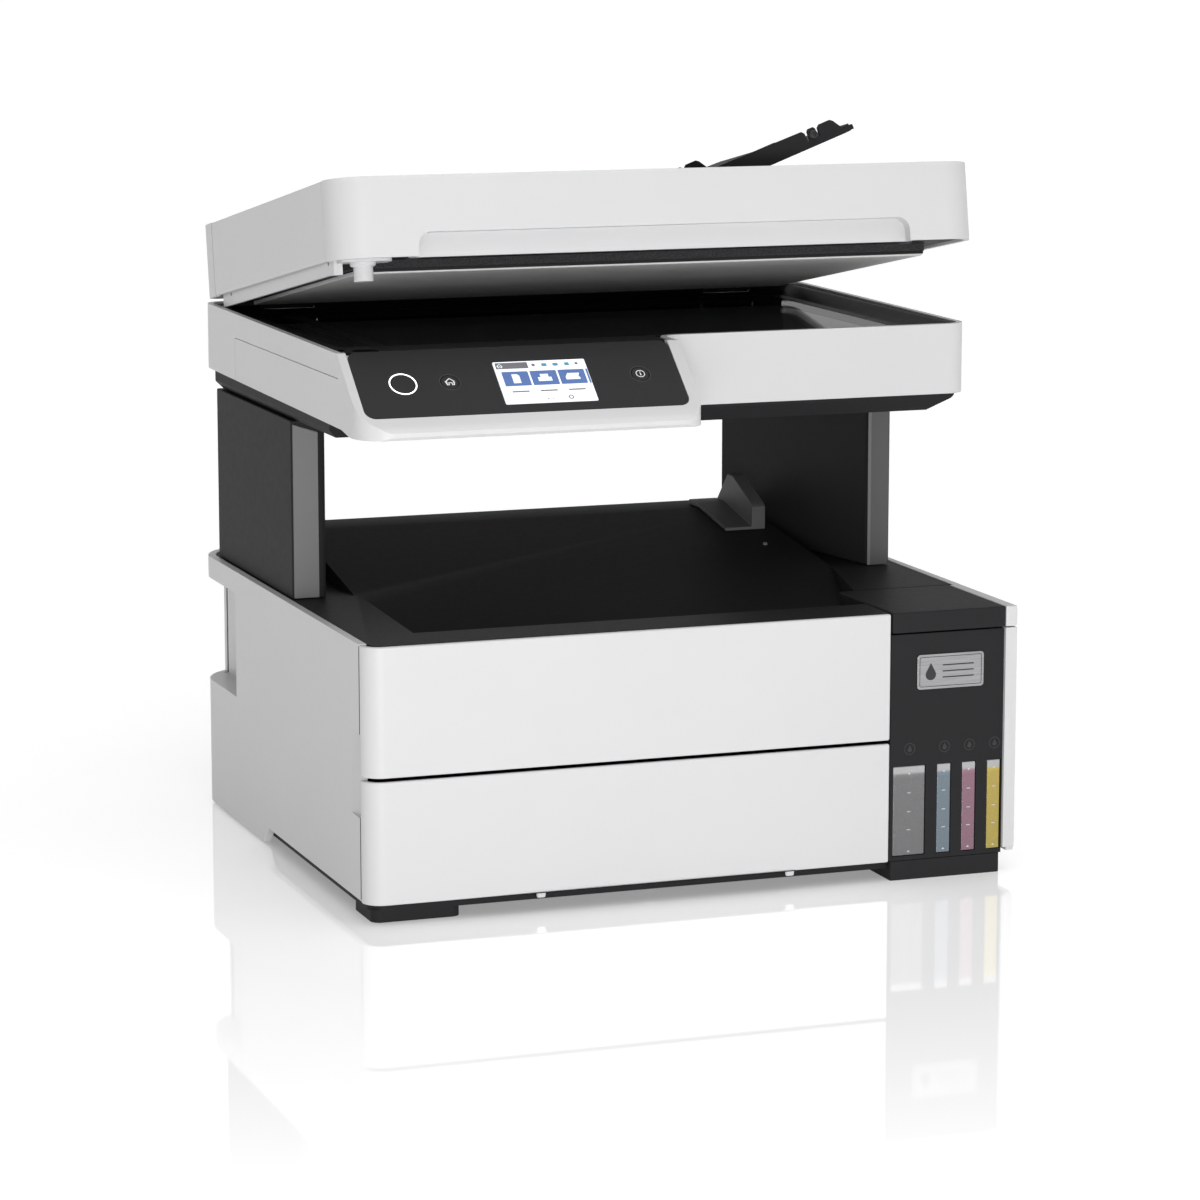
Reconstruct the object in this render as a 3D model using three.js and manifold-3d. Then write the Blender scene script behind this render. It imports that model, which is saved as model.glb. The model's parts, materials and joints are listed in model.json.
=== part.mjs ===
// Inkjet multifunction printer with refillable ink tanks, a flatbed scanner and a document feeder.
// Millimetres. +Z is up, +X is right seen from the front, and the front faces -Y.
// The origin is at floor level, at the middle of the printer's width and depth.

import * as THREE from 'three';
import { mergeVertices } from 'three/addons/utils/BufferGeometryUtils.js';
import { ConvexGeometry } from 'three/addons/geometries/ConvexGeometry.js';
import Module from 'manifold-3d';

const wasm = await Module();
wasm.setup();

// ---------------------------------------------------------------- driving dimensions

const WIDTH = 375;
const DEPTH = 347;
const LEFT = -WIDTH / 2;
const RIGHT = WIDTH / 2;
const FRONT = -DEPTH / 2;
const REAR = DEPTH / 2;

const WALL = 3;               // moulded casing thickness
const GAP = 0.3;              // clearance between parts that meet
const ARC_STEPS = 5;          // facets in a quarter round

const DECK_Z = 150;           // top of the lower body
const BODY_BOTTOM_Z = 11;     // lower edge of the front panels
const PANEL_SPLIT_Z = 78.5;   // joint line between the front cover and the upper front panel
const PANEL_SPLIT_GAP = 1.9;
const SIDE_SEAM_Y = -163;     // where the front panels meet the side panels
const FRONT_CORNER_R = 11;
const REAR_CORNER_R = 33;

const INK_LEFT = 112.7;       // left side of the ink unit
const INK_RIGHT = 180.4;
const INK_REAR_Y = -98.6;     // rear edge of the ink cover, on its hinge
const INK_SEAM_Z = 138;

const PILLAR_TOP_Z = 249.6;
const PILLAR_FRONT_Y = -18;
const PILLAR_REAR_Y = 140;

const SCAN_TOP_Z = 300;
const SCAN_REAR_Y = 147;
const BAND_FRONT_Y = -105;    // front of the scanner to the right of the control panel
const PANEL_RIGHT_X = 4;      // right end of the control panel's frame
const SLOPE_TOP_Y = -127;     // control panel slope, from its top edge
const SLOPE_FOOT = { y: -166, z: 268 };
const RIM_FALL = 1;            // the scanner's rim drops this much from the rear to the front

const GLASS_Z = 294;          // top of the document glass
const GLASS = { x0: -138, x1: 160, y0: -93, y1: 124 };

const LID_HINGE = { y: 140, z: 300 };
const LID_TILT = THREE.MathUtils.degToRad(9.9);
const LID = { x0: LEFT, x1: 182.5, y0: -134, y1: 138, z0: 301.8, z1: 344.5 };
const ADF_SEAM_Y = -114.3;    // front edge of the feeder cover
const ADF_COVER_RIGHT = -22;

const TRAY_HINGE = { x: 33, z: 333 };
const TRAY_TILT = THREE.MathUtils.degToRad(20.3);
const TRAY_LENGTH = 97;
const TRAY_HALF_WIDTH = 104;

// ---------------------------------------------------------------- materials

function finish(color, roughness, metalness = 0, opacity = 1) {
  return new THREE.MeshStandardMaterial({
    color, roughness, metalness, opacity, transparent: opacity < 1,
  });
}

const WHITE = finish(0xe4e5e6, 0.5);
const CHARCOAL = finish(0x303032, 0.6);
const GREY = finish(0x6b6c6e, 0.6);
const GLOSS_BLACK = finish(0x121214, 0.15);
const PANEL_BLACK = finish(0x353537, 0.4);
const FOAM = finish(0x1d1d1f, 0.95);
const MAT_WHITE = finish(0xf0f0ef, 0.7);
const GLASS_CLEAR = finish(0x9fb0b4, 0.05, 0, 0.35);
const SCREEN = finish(0xd8e6f2, 0.1);
const STEEL = finish(0xb4b6b8, 0.3, 0.9);
const RUBBER = finish(0x28282a, 0.9);
const BOARD = finish(0x1f6b3a, 0.5);
const INK_BLACK = finish(0x77787a, 0.25);
const INK_CYAN = finish(0x7fa3bc, 0.25);
const INK_MAGENTA = finish(0xb0718a, 0.25);
const INK_YELLOW = finish(0xe0c25a, 0.25);

// ---------------------------------------------------------------- shapes and solids

// A closed geometry as a solid that can be joined and cut.
function solid(geometry) {
  const bare = geometry.clone();
  bare.deleteAttribute('normal');
  bare.deleteAttribute('uv');
  const merged = mergeVertices(bare, 1e-4);
  const mesh = new wasm.Mesh({
    numProp: 3,
    vertProperties: new Float32Array(merged.attributes.position.array),
    triVerts: new Uint32Array(merged.index.array),
  });
  return new wasm.Manifold(mesh);
}

// A joined or cut solid as a geometry again.
function geometryOf(body) {
  const mesh = body.getMesh();
  const geometry = new THREE.BufferGeometry();
  geometry.setAttribute('position', new THREE.BufferAttribute(mesh.vertProperties, 3));
  geometry.setIndex(new THREE.BufferAttribute(mesh.triVerts, 1));
  geometry.computeVertexNormals();
  return geometry;
}

function join(first, ...others) {
  return others.reduce((total, other) => total.add(other), first);
}

function cut(first, ...others) {
  return others.reduce((total, other) => total.subtract(other), first);
}

// A block between two values on each axis.
function block(x0, x1, y0, y1, z0, z1) {
  const geometry = new THREE.BoxGeometry(x1 - x0, y1 - y0, z1 - z0);
  geometry.translate((x0 + x1) / 2, (y0 + y1) / 2, (z0 + z1) / 2);
  return solid(geometry);
}

function outline(points) {
  return new THREE.Shape(points.map(([u, v]) => new THREE.Vector2(u, v)));
}

function extruded(shape, depth) {
  return new THREE.ExtrudeGeometry(shape, { depth, bevelEnabled: false, curveSegments: ARC_STEPS });
}

// A plan outline (x, y) raised from z0 to z1.
function raised(shape, z0, z1) {
  const geometry = extruded(shape, z1 - z0);
  geometry.translate(0, 0, z0);
  return solid(geometry);
}

// A side outline (y, z) carried along X from x0 to x1.
function alongX(shape, x0, x1) {
  const geometry = extruded(shape, x1 - x0);
  const turn = new THREE.Matrix4().makeBasis(
    new THREE.Vector3(0, 1, 0), new THREE.Vector3(0, 0, 1), new THREE.Vector3(1, 0, 0));
  geometry.applyMatrix4(turn);
  geometry.translate(x0, 0, 0);
  return solid(geometry);
}

// A front outline (x, z) carried along Y from y0 to y1.
function alongY(shape, y0, y1) {
  const geometry = extruded(shape, y1 - y0);
  geometry.rotateX(Math.PI / 2);
  geometry.translate(0, y1, 0);
  return solid(geometry);
}

// A round bar about X, Y or Z, with its middle at (x, y, z).
function rod(axis, x, y, z, radius, length, sides = 20) {
  const geometry = new THREE.CylinderGeometry(radius, radius, length, sides);
  if (axis === 'x') geometry.rotateZ(Math.PI / 2);
  if (axis === 'z') geometry.rotateX(Math.PI / 2);
  geometry.translate(x, y, z);
  return solid(geometry);
}

// A rectangle with its own radius at each corner: front left, front right, rear right, rear left.
function roundedRect(x0, x1, y0, y1, [fl, fr, rr, rl]) {
  const shape = new THREE.Shape();
  shape.moveTo(x0 + fl, y0);
  shape.lineTo(x1 - fr, y0);
  if (fr > 0) shape.absarc(x1 - fr, y0 + fr, fr, -Math.PI / 2, 0, false);
  shape.lineTo(x1, y1 - rr);
  if (rr > 0) shape.absarc(x1 - rr, y1 - rr, rr, 0, Math.PI / 2, false);
  shape.lineTo(x0 + rl, y1);
  if (rl > 0) shape.absarc(x0 + rl, y1 - rl, rl, Math.PI / 2, Math.PI, false);
  shape.lineTo(x0, y0 + fl);
  if (fl > 0) shape.absarc(x0 + fl, y0 + fl, fl, Math.PI, Math.PI * 1.5, false);
  return shape;
}

// A tapered block: one rectangle at z0 and another at z1, each [x0, x1, y0, y1].
function tapered(low, z0, high, z1) {
  const corners = ([x0, x1, y0, y1], z) => [
    new THREE.Vector3(x0, y0, z), new THREE.Vector3(x1, y0, z),
    new THREE.Vector3(x1, y1, z), new THREE.Vector3(x0, y1, z)];
  return solid(new ConvexGeometry([...corners(low, z0), ...corners(high, z1)]));
}

const printer = new THREE.Group();

function add(group, name, body, material) {
  const mesh = new THREE.Mesh(geometryOf(body), material);
  mesh.name = name;
  group.add(mesh);
  return mesh;
}

// ---------------------------------------------------------------- base pan

const PAN_TOP_Z = BODY_BOTTOM_Z - GAP;
const PAN_BOTTOM_Z = 6;
const PAN_X = RIGHT - 4.5 - GAP;
const FOOT_DEPTH = 36;

function foot(x0, x1, y0) {
  return raised(roundedRect(x0, x1, y0, y0 + FOOT_DEPTH, [5, 5, 5, 5]), 0, PAN_BOTTOM_Z + 1);
}

const PAN_FRONT_Y = FRONT + 7.5;
add(printer, 'base_pan', join(
  raised(roundedRect(-PAN_X, PAN_X - 2.5, PAN_FRONT_Y, 160, [10, 2, 25, 25]), PAN_BOTTOM_Z, PAN_TOP_Z),
  foot(-PAN_X + 1, -PAN_X + 50, PAN_FRONT_Y + 1),
  raised(roundedRect(INK_LEFT + 1, PAN_X - 2.5, FRONT + 2, FRONT + 44, [1, 3, 5, 5]), 0, PAN_TOP_Z),
  foot(-PAN_X + 2, -PAN_X + 42, 104),
  foot(PAN_X - 44.5, PAN_X - 4.5, 104),
), CHARCOAL);

// ---------------------------------------------------------------- side panels

const SIDE_BOTTOM_Z = 12;
const SIDE_REAR_BOTTOM_Z = 2;
const SIDE_STEP_Y = [19, 30];
const SIDE_THICK = 4.5;
const GRIP_FRONT_Y = 85;
const GRIP_Z = [76, 137];
const GRIP_WALL_X = 172;
const FINGER_Z = [57, 102];

// side is -1 for the left panel and +1 for the right one.
function sidePanel(side, frontY) {
  const edge = RIGHT;
  const plan = new THREE.Shape();
  const arcTurn = side > 0 ? [0, Math.PI / 2, false] : [Math.PI, Math.PI / 2, true];
  const turnBack = side > 0 ? [Math.PI / 2, 0, true] : [Math.PI / 2, Math.PI, false];
  const centreX = side * (edge - REAR_CORNER_R);
  const centreY = REAR - REAR_CORNER_R;
  plan.moveTo(side * edge, frontY);
  plan.lineTo(side * edge, centreY);
  plan.absarc(centreX, centreY, REAR_CORNER_R, ...arcTurn);
  plan.lineTo(centreX, REAR - SIDE_THICK);
  plan.absarc(centreX, centreY, REAR_CORNER_R - SIDE_THICK, ...turnBack);
  plan.lineTo(side * (edge - SIDE_THICK), frontY);
  const xs = [side * GRIP_WALL_X, side * (edge + 1)].sort((a, b) => a - b);
  const liner = [side * (GRIP_WALL_X - WALL), side * (edge - 2)].sort((a, b) => a - b);
  const shell = raised(plan, SIDE_REAR_BOTTOM_Z, DECK_Z);
  const linerWall = block(...liner, GRIP_FRONT_Y - WALL, 160, GRIP_Z[0] - WALL, GRIP_Z[1] + WALL);
  const under = outline([
    [frontY - 1, 0], [SIDE_STEP_Y[1], 0], [SIDE_STEP_Y[1], SIDE_REAR_BOTTOM_Z],
    [SIDE_STEP_Y[0], SIDE_BOTTOM_Z], [frontY - 1, SIDE_BOTTOM_Z]]);
  const corner = new THREE.Shape();
  corner.moveTo(side * 100, 0);
  corner.lineTo(side * (edge - 0.5), 0);
  corner.lineTo(side * (edge - 0.5), centreY);
  corner.absarc(centreX, centreY, REAR_CORNER_R - 0.5, ...arcTurn);
  corner.lineTo(side * 100, REAR - 0.5);
  return cut(
    join(shell, linerWall.intersect(raised(corner, 0, DECK_Z))),
    block(...xs, GRIP_FRONT_Y, REAR + 1, ...GRIP_Z),
    alongX(under, ...(side > 0 ? [RIGHT - 10, RIGHT + 1] : [LEFT - 1, LEFT + 10])),
  );
}

// The finger scoop by which the front cover is gripped: it deepens towards the seam.
const FINGER_DEPTH = 2.4;
const FINGER_FLOOR = 4;
const FINGER_LENGTH = 16;
const scoopPlan = new THREE.Shape();
scoopPlan.moveTo(LEFT - 1, SIDE_SEAM_Y - 1);
scoopPlan.lineTo(LEFT + FINGER_DEPTH, SIDE_SEAM_Y - 1);
scoopPlan.lineTo(LEFT + FINGER_DEPTH, SIDE_SEAM_Y + FINGER_FLOOR);
scoopPlan.lineTo(LEFT, SIDE_SEAM_Y + FINGER_LENGTH);
scoopPlan.lineTo(LEFT - 1, SIDE_SEAM_Y + FINGER_LENGTH);
add(printer, 'left_side_panel', cut(
  sidePanel(-1, SIDE_SEAM_Y + 0.6),
  raised(scoopPlan, ...FINGER_Z),
), WHITE);

add(printer, 'right_side_panel', cut(
  join(
    sidePanel(1, FRONT + 1),
    block(INK_RIGHT + GAP, RIGHT, FRONT, FRONT + 6, SIDE_BOTTOM_Z + 2, DECK_Z),
  ),
  block(RIGHT - 8, RIGHT + 1, FRONT - 1, INK_REAR_Y + GAP, INK_SEAM_Z, DECK_Z + 1),
), WHITE);

// ---------------------------------------------------------------- front panels

const FRONT_RIGHT_X = 111.7;

function frontPlan() {
  const plan = new THREE.Shape();
  const r = FRONT_CORNER_R;
  plan.moveTo(FRONT_RIGHT_X, FRONT);
  plan.lineTo(FRONT_RIGHT_X, FRONT + WALL);
  plan.lineTo(LEFT + r, FRONT + WALL);
  plan.absarc(LEFT + r, FRONT + r, r - WALL, Math.PI * 1.5, Math.PI, true);
  plan.lineTo(LEFT, FRONT + r);
  plan.absarc(LEFT + r, FRONT + r, r, Math.PI, Math.PI * 1.5, false);
  return plan;
}

const COVER_TOP_Z = PANEL_SPLIT_Z - PANEL_SPLIT_GAP / 2;
const UPPER_BOTTOM_Z = PANEL_SPLIT_Z + PANEL_SPLIT_GAP / 2;
add(printer, 'upper_front_panel', raised(frontPlan(), UPPER_BOTTOM_Z, DECK_Z - 0.4), WHITE);

const TAB_X = [-90, 53.5];
add(printer, 'front_cover', join(
  raised(frontPlan(), BODY_BOTTOM_Z, COVER_TOP_Z),
  ...TAB_X.map((x) => block(x - 2.5, x + 2.5, FRONT + 0.5, FRONT + WALL,
    BODY_BOTTOM_Z - 3, BODY_BOTTOM_Z + 1)),
), WHITE);

// ---------------------------------------------------------------- output tray and paper rest

const TRAY_TOP_Z = DECK_Z - 0.3;
const WELL_FRONT_Y = -139;
const RAMP = { front: [WELL_FRONT_Y, 128], rear: [96, 170], back: [128, 170] };
const WELL = [[-150, WELL_FRONT_Y], [112, WELL_FRONT_Y], [141, -24], [128, 128], [-143, 128], [-143, -10]];
const SLOT = { x0: -140, x1: 96, z0: 134, z1: 143 };

function grown(points, by) {
  const cx = -4;
  const cy = -5;
  return points.map(([x, y]) => [x + Math.sign(x - cx) * by, y + Math.sign(y - cy) * by]);
}

const deckPlan = roundedRect(LEFT + SIDE_THICK + GAP, RIGHT - SIDE_THICK - GAP, FRONT + WALL + GAP,
  REAR - SIDE_THICK - GAP, [8, 0, 28, 28]);
const rampProfile = outline([
  [WELL_FRONT_Y - WALL, RAMP.front[1] - WALL], [RAMP.rear[0], RAMP.rear[1] - WALL],
  [RAMP.back[0] - WALL, RAMP.back[1] - WALL], [RAMP.back[0] - WALL, DECK_Z - WALL],
  [RAMP.back[0], DECK_Z - WALL], RAMP.back, RAMP.rear, RAMP.front, [WELL_FRONT_Y - WALL, RAMP.front[1]]]);
const rampSides = outline([
  [WELL_FRONT_Y - WALL, RAMP.front[1] - WALL], [-10, DECK_Z - WALL], [RAMP.back[0], DECK_Z - WALL],
  RAMP.back, RAMP.rear, [-14, DECK_Z - 0.3], [WELL_FRONT_Y - WALL, DECK_Z - 0.3]]);
const wellOuter = outline(grown(WELL, WALL));
const wellInner = outline(WELL);
add(printer, 'output_tray', cut(
  join(
    cut(raised(deckPlan, TRAY_TOP_Z - WALL, TRAY_TOP_Z), raised(wellInner, 100, 200)),
    cut(raised(wellOuter, 100, 200), raised(wellInner, 99, 201))
      .intersect(alongX(rampSides, -160, 160)),
    alongX(rampProfile, -160, 160).intersect(raised(wellOuter, 100, 200)),
  ),
  block(INK_LEFT - 1.5, RIGHT, FRONT, INK_REAR_Y + 2, 90, 200),
  block(SLOT.x0, SLOT.x1, WELL_FRONT_Y - 10, WELL_FRONT_Y + 1, SLOT.z0, SLOT.z1),
), CHARCOAL);

const REST_Z = RAMP.rear[1] + GAP;
const REST_FRONT_Y = 52;
const restFrontZ = REST_Z - (RAMP.rear[0] - REST_FRONT_Y) * (RAMP.rear[1] - RAMP.front[1])
  / (RAMP.rear[0] - RAMP.front[0]);
add(printer, 'paper_rest', join(
  alongX(outline([
    [REST_FRONT_Y, restFrontZ], [REST_FRONT_Y, 176], [REST_FRONT_Y + 3, 178.5], [84, 190.5], [92, 190.5],
    [112, REST_Z], [RAMP.rear[0], REST_Z]]), 121, 129.5),
  alongX(outline([
    [REST_FRONT_Y, restFrontZ], [REST_FRONT_Y, restFrontZ + 2], [RAMP.rear[0], REST_Z + 3],
    [112, REST_Z + 3], [112, REST_Z], [RAMP.rear[0], REST_Z]]), 104, 122),
), GREY);

// ---------------------------------------------------------------- pillars

const leftPillarPlan = new THREE.Shape();
leftPillarPlan.moveTo(-182, PILLAR_FRONT_Y);
leftPillarPlan.lineTo(-166.5, PILLAR_FRONT_Y);
leftPillarPlan.absarc(-166.5, PILLAR_FRONT_Y + 5, 5, -Math.PI / 2, 0, false);
leftPillarPlan.lineTo(-150, PILLAR_REAR_Y);
leftPillarPlan.lineTo(-182, PILLAR_REAR_Y);
add(printer, 'left_pillar', cut(
  raised(leftPillarPlan, DECK_Z, PILLAR_TOP_Z),
  block(-179, -164.5, PILLAR_FRONT_Y + WALL, PILLAR_REAR_Y - WALL, DECK_Z - 1, PILLAR_TOP_Z - WALL),
), CHARCOAL);

const rightPillarPlan = new THREE.Shape();
rightPillarPlan.moveTo(177, PILLAR_FRONT_Y - 4);
rightPillarPlan.lineTo(177, PILLAR_REAR_Y);
rightPillarPlan.lineTo(136, PILLAR_REAR_Y);
rightPillarPlan.lineTo(162.5, PILLAR_FRONT_Y);
rightPillarPlan.absarc(166.5, PILLAR_FRONT_Y, 4, Math.PI, Math.PI * 1.5, false);
add(printer, 'right_pillar', cut(
  raised(rightPillarPlan, DECK_Z, PILLAR_TOP_Z),
  block(165.5, 174, PILLAR_FRONT_Y, PILLAR_REAR_Y - WALL, DECK_Z - 1, PILLAR_TOP_Z - WALL),
), CHARCOAL);

// ---------------------------------------------------------------- rear of the body

const REAR_PANEL_X = RIGHT - REAR_CORNER_R - GAP;
const DUPLEX = { x0: -130, x1: 110, z0: 80, z1: 138 };
const INLET = { x0: 122, x1: 148, z0: 30, z1: 50 };
const VENT = { x0: -128, pitch: 7, width: 3.2, count: 14, z0: 24, z1: 60 };
const ventStarts = Array.from({ length: VENT.count }, (_, i) => VENT.x0 + i * VENT.pitch);
add(printer, 'rear_panel', cut(
  block(-REAR_PANEL_X, REAR_PANEL_X, REAR - WALL - 1, REAR, SIDE_REAR_BOTTOM_Z, DECK_Z),
  ...ventStarts.map((x) => block(x, x + VENT.width, REAR - 10, REAR + 1, VENT.z0, VENT.z1)),
  block(DUPLEX.x0 - 0.6, DUPLEX.x1 + 0.6, REAR - 10, REAR + 1, DUPLEX.z0 - 0.6, DUPLEX.z1 + 0.6),
  block(INLET.x0 - GAP, INLET.x1 + GAP, REAR - 10, REAR + 1, INLET.z0 - GAP, INLET.z1 + GAP),
), CHARCOAL);

add(printer, 'duplex_unit', join(
  cut(
    block(DUPLEX.x0, DUPLEX.x1, 128, REAR - 0.5, DUPLEX.z0, DUPLEX.z1),
    block(DUPLEX.x0 + WALL, DUPLEX.x1 - WALL, 120, REAR - 0.5 - WALL, DUPLEX.z0 + WALL, DUPLEX.z1 - WALL),
  ),
  ...[-1, 1].map((side) => block(-10 + side * 90 - 12, -10 + side * 90 + 12, 140, REAR - 2,
    DUPLEX.z0 + 1, DUPLEX.z1 - 1)),
), CHARCOAL);

add(printer, 'power_inlet', join(
  cut(
    block(INLET.x0, INLET.x1, 155, REAR - 0.5, INLET.z0, INLET.z1),
    block(INLET.x0 + 3, INLET.x1 - 3, 160, REAR, INLET.z0 + 3, INLET.z1 - 3),
  ),
  ...[-4.5, 4.5].map((x) => block(135 + x - 1, 135 + x + 1, 159, 170, 38, 42)),
), GLOSS_BLACK);

// ---------------------------------------------------------------- ink unit

const FASCIA_Y = FRONT + 2;
const FASCIA_BACK_Y = FASCIA_Y + WALL;
const WINDOW_Z = [13.4, 64];
const INKS = [
  { name: 'black', material: INK_BLACK, window: [114.6, 134.2], tank: [113.9 + 2, 137.6] },
  { name: 'cyan', material: INK_CYAN, window: [141, 149.6], tank: [139, 151.8] },
  { name: 'magenta', material: INK_MAGENTA, window: [156.1, 164.6], tank: [153.8, 166.6] },
  { name: 'yellow', material: INK_YELLOW, window: [171.3, 179.9], tank: [168.6, 178.6] },
];
const TANK_Z = [12, 108];
const TANK_REAR_Y = -104;
const PORT_Y = -138;
const PORT_TOP_Z = 116;

add(printer, 'ink_unit_housing', cut(
  block(INK_LEFT, INK_RIGHT, FASCIA_Y, INK_REAR_Y - 0.6, PAN_TOP_Z + GAP, INK_SEAM_Z - 0.5),
  block(INK_LEFT + 2, INK_RIGHT - 1.5, FASCIA_BACK_Y, INK_REAR_Y - 3, PAN_TOP_Z - 1, INK_SEAM_Z + 1),
  ...INKS.map((ink) => block(...ink.window, FASCIA_Y - 1, FASCIA_BACK_Y + 1, ...WINDOW_Z)),
), CHARCOAL);

function portX(ink) {
  return (ink.tank[0] + ink.tank[1]) / 2;
}

for (const ink of INKS) {
  add(printer, `tank_${ink.name}`, join(
    block(...ink.tank, FASCIA_BACK_Y + GAP, TANK_REAR_Y, ...TANK_Z),
    block(ink.window[0] + GAP, Math.min(ink.window[1], ink.tank[1] + 0.9) - GAP, FASCIA_Y + GAP,
      FASCIA_BACK_Y + GAP, WINDOW_Z[0] + GAP, WINDOW_Z[1] - GAP),
    rod('z', portX(ink), PORT_Y, (TANK_Z[1] + PORT_TOP_Z) / 2, 4.5, PORT_TOP_Z - TANK_Z[1] + 0.2, 16),
  ), ink.material);
}

const CAP_HINGE = { y: -120, z: 118 };
for (const ink of INKS) {
  const x = portX(ink);
  add(printer, `cap_${ink.name}`, join(
    rod('z', x, PORT_Y, PORT_TOP_Z + GAP + 2.5, 4.8, 5, 16),
    block(x - 2.5, x + 2.5, PORT_Y - 9, CAP_HINGE.y, PORT_TOP_Z + 2, PORT_TOP_Z + 4),
  ), ink.material);
}

add(printer, 'ink_cover', cut(
  block(INK_LEFT, INK_RIGHT, FRONT, INK_REAR_Y, INK_SEAM_Z + 0.6, DECK_Z),
  block(INK_LEFT + 2, INK_RIGHT - 2, FRONT + 2.5, INK_REAR_Y + 1, INK_SEAM_Z - 1, DECK_Z - 3),
), CHARCOAL);
add(printer, 'ink_cover_strip',
  block(INK_RIGHT + GAP, RIGHT, FRONT, INK_REAR_Y, INK_SEAM_Z + 0.6, DECK_Z), WHITE);

// ---------------------------------------------------------------- paper cassette

const CASSETTE = { x0: -140, x1: 106, y0: -160, y1: 162, z0: 13, z1: 66 };
add(printer, 'cassette_tray', join(
  cut(
    block(CASSETTE.x0, CASSETTE.x1, CASSETTE.y0, CASSETTE.y1, CASSETTE.z0, CASSETTE.z1),
    block(CASSETTE.x0 + WALL, CASSETTE.x1 - WALL, CASSETTE.y0 + WALL, CASSETTE.y1 - WALL,
      CASSETTE.z0 + WALL, CASSETTE.z1 + 1),
    block(-52, 18, CASSETTE.y0 - 1, CASSETTE.y0 + WALL + 1, CASSETTE.z1 - 18, CASSETTE.z1 + 1),
  ),
), CHARCOAL);

const CASSETTE_FLOOR_Z = CASSETTE.z0 + WALL;
const PAPER_HALF = 105;
for (const [name, side] of [['cassette_guide_left', -1], ['cassette_guide_right', 1]]) {
  const face = -17 + side * PAPER_HALF;
  const foot0 = Math.min(face, face - side * 26);
  const wall0 = Math.min(face, face + side * 3);
  add(printer, name, join(
    block(wall0, wall0 + 3, -60, 60, CASSETTE_FLOOR_Z + GAP, CASSETTE.z1 - 4),
    block(foot0, foot0 + 26, -12, 12, CASSETTE_FLOOR_Z + GAP, CASSETTE_FLOOR_Z + GAP + 2),
  ), GREY);
}

// ---------------------------------------------------------------- print mechanism

const CARRIAGE = { x0: 98, x1: 168, y0: -42, y1: 20, z0: 82, z1: 116 };
add(printer, 'print_carriage', join(
  block(CARRIAGE.x0, CARRIAGE.x1, CARRIAGE.y0, CARRIAGE.y1, CARRIAGE.z0 + 6, CARRIAGE.z1),
  block(CARRIAGE.x0 + 10, CARRIAGE.x1 - 10, CARRIAGE.y0 + 8, CARRIAGE.y1 - 14, CARRIAGE.z0, CARRIAGE.z0 + 7),
), CHARCOAL);

add(printer, 'carriage_rail', join(
  block(-178, 178, 24, 25.5, 84, 118),
  block(-178, 178, 24, 34, 84, 85.5),
), STEEL);

add(printer, 'platen', block(-122, 92, -44, 14, 74, 78), CHARCOAL);
add(printer, 'feed_roller', join(
  rod('x', -15, 42, 77, 3, 250, 12),
  rod('x', -15, 42, 77, 6, 214, 16),
), RUBBER);
add(printer, 'eject_roller', join(
  rod('x', -15, -58, 77, 2.5, 250, 12),
  ...[-90, -40, 10, 60].map((x) => rod('x', x, -58, 77, 6, 12, 16)),
), RUBBER);

const BELT = { y: 53, z0: 99, z1: 105, leftX: -160, rightX: 166, radius: 8 };
function pulley(x) {
  return join(
    rod('z', x, BELT.y, (BELT.z0 + BELT.z1) / 2, BELT.radius, BELT.z1 - BELT.z0 + 3, 16),
    rod('z', x, BELT.y, BELT.z0 - 2, 2, 4, 12),
  );
}
function beltLoop(radius) {
  const loop = new THREE.Shape();
  loop.absarc(BELT.leftX, BELT.y, radius, Math.PI / 2, Math.PI * 1.5, false);
  loop.absarc(BELT.rightX, BELT.y, radius, -Math.PI / 2, Math.PI / 2, false);
  return loop;
}
add(printer, 'carriage_belt', cut(
  raised(beltLoop(BELT.radius + GAP + 1.2), BELT.z0, BELT.z1),
  raised(beltLoop(BELT.radius + GAP), BELT.z0 - 1, BELT.z1 + 1),
), RUBBER);
add(printer, 'drive_pulley', pulley(BELT.leftX), STEEL);
add(printer, 'idler_pulley', pulley(BELT.rightX), STEEL);
add(printer, 'carriage_motor', rod('z', BELT.leftX - 4, BELT.y, 80, 16, 28, 20), STEEL);

add(printer, 'mainboard', join(
  block(174, 176, 10, 130, 20, 66),
  block(168, 174.5, 30, 60, 30, 50),
  block(166, 174.5, 80, 110, 28, 44),
), BOARD);
add(printer, 'power_supply', block(112, 162, 60, 150, 14, 58), CHARCOAL);

// ---------------------------------------------------------------- scanner unit

const FRAME_WALL = 3.5;
const slopeRise = (SCAN_TOP_Z - SLOPE_FOOT.z) / (SLOPE_TOP_Y - SLOPE_FOOT.y);
const LIP_Y = FRONT + 1;
const rimFront = [SLOPE_TOP_Y - RIM_FALL / slopeRise, SCAN_TOP_Z - RIM_FALL];
const lipTopZ = SLOPE_FOOT.z - (SLOPE_FOOT.y - LIP_Y - 2) * slopeRise;
const scannerSide = outline([
  [SCAN_REAR_Y, 262.4], [SCAN_REAR_Y, SCAN_TOP_Z], rimFront,
  [LIP_Y + 2, lipTopZ], [LIP_Y, lipTopZ - 3], [LIP_Y, 259], [LIP_Y + 1.5, 257.4], [-150, 257.4],
  [-135, 259.6]]);

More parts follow.
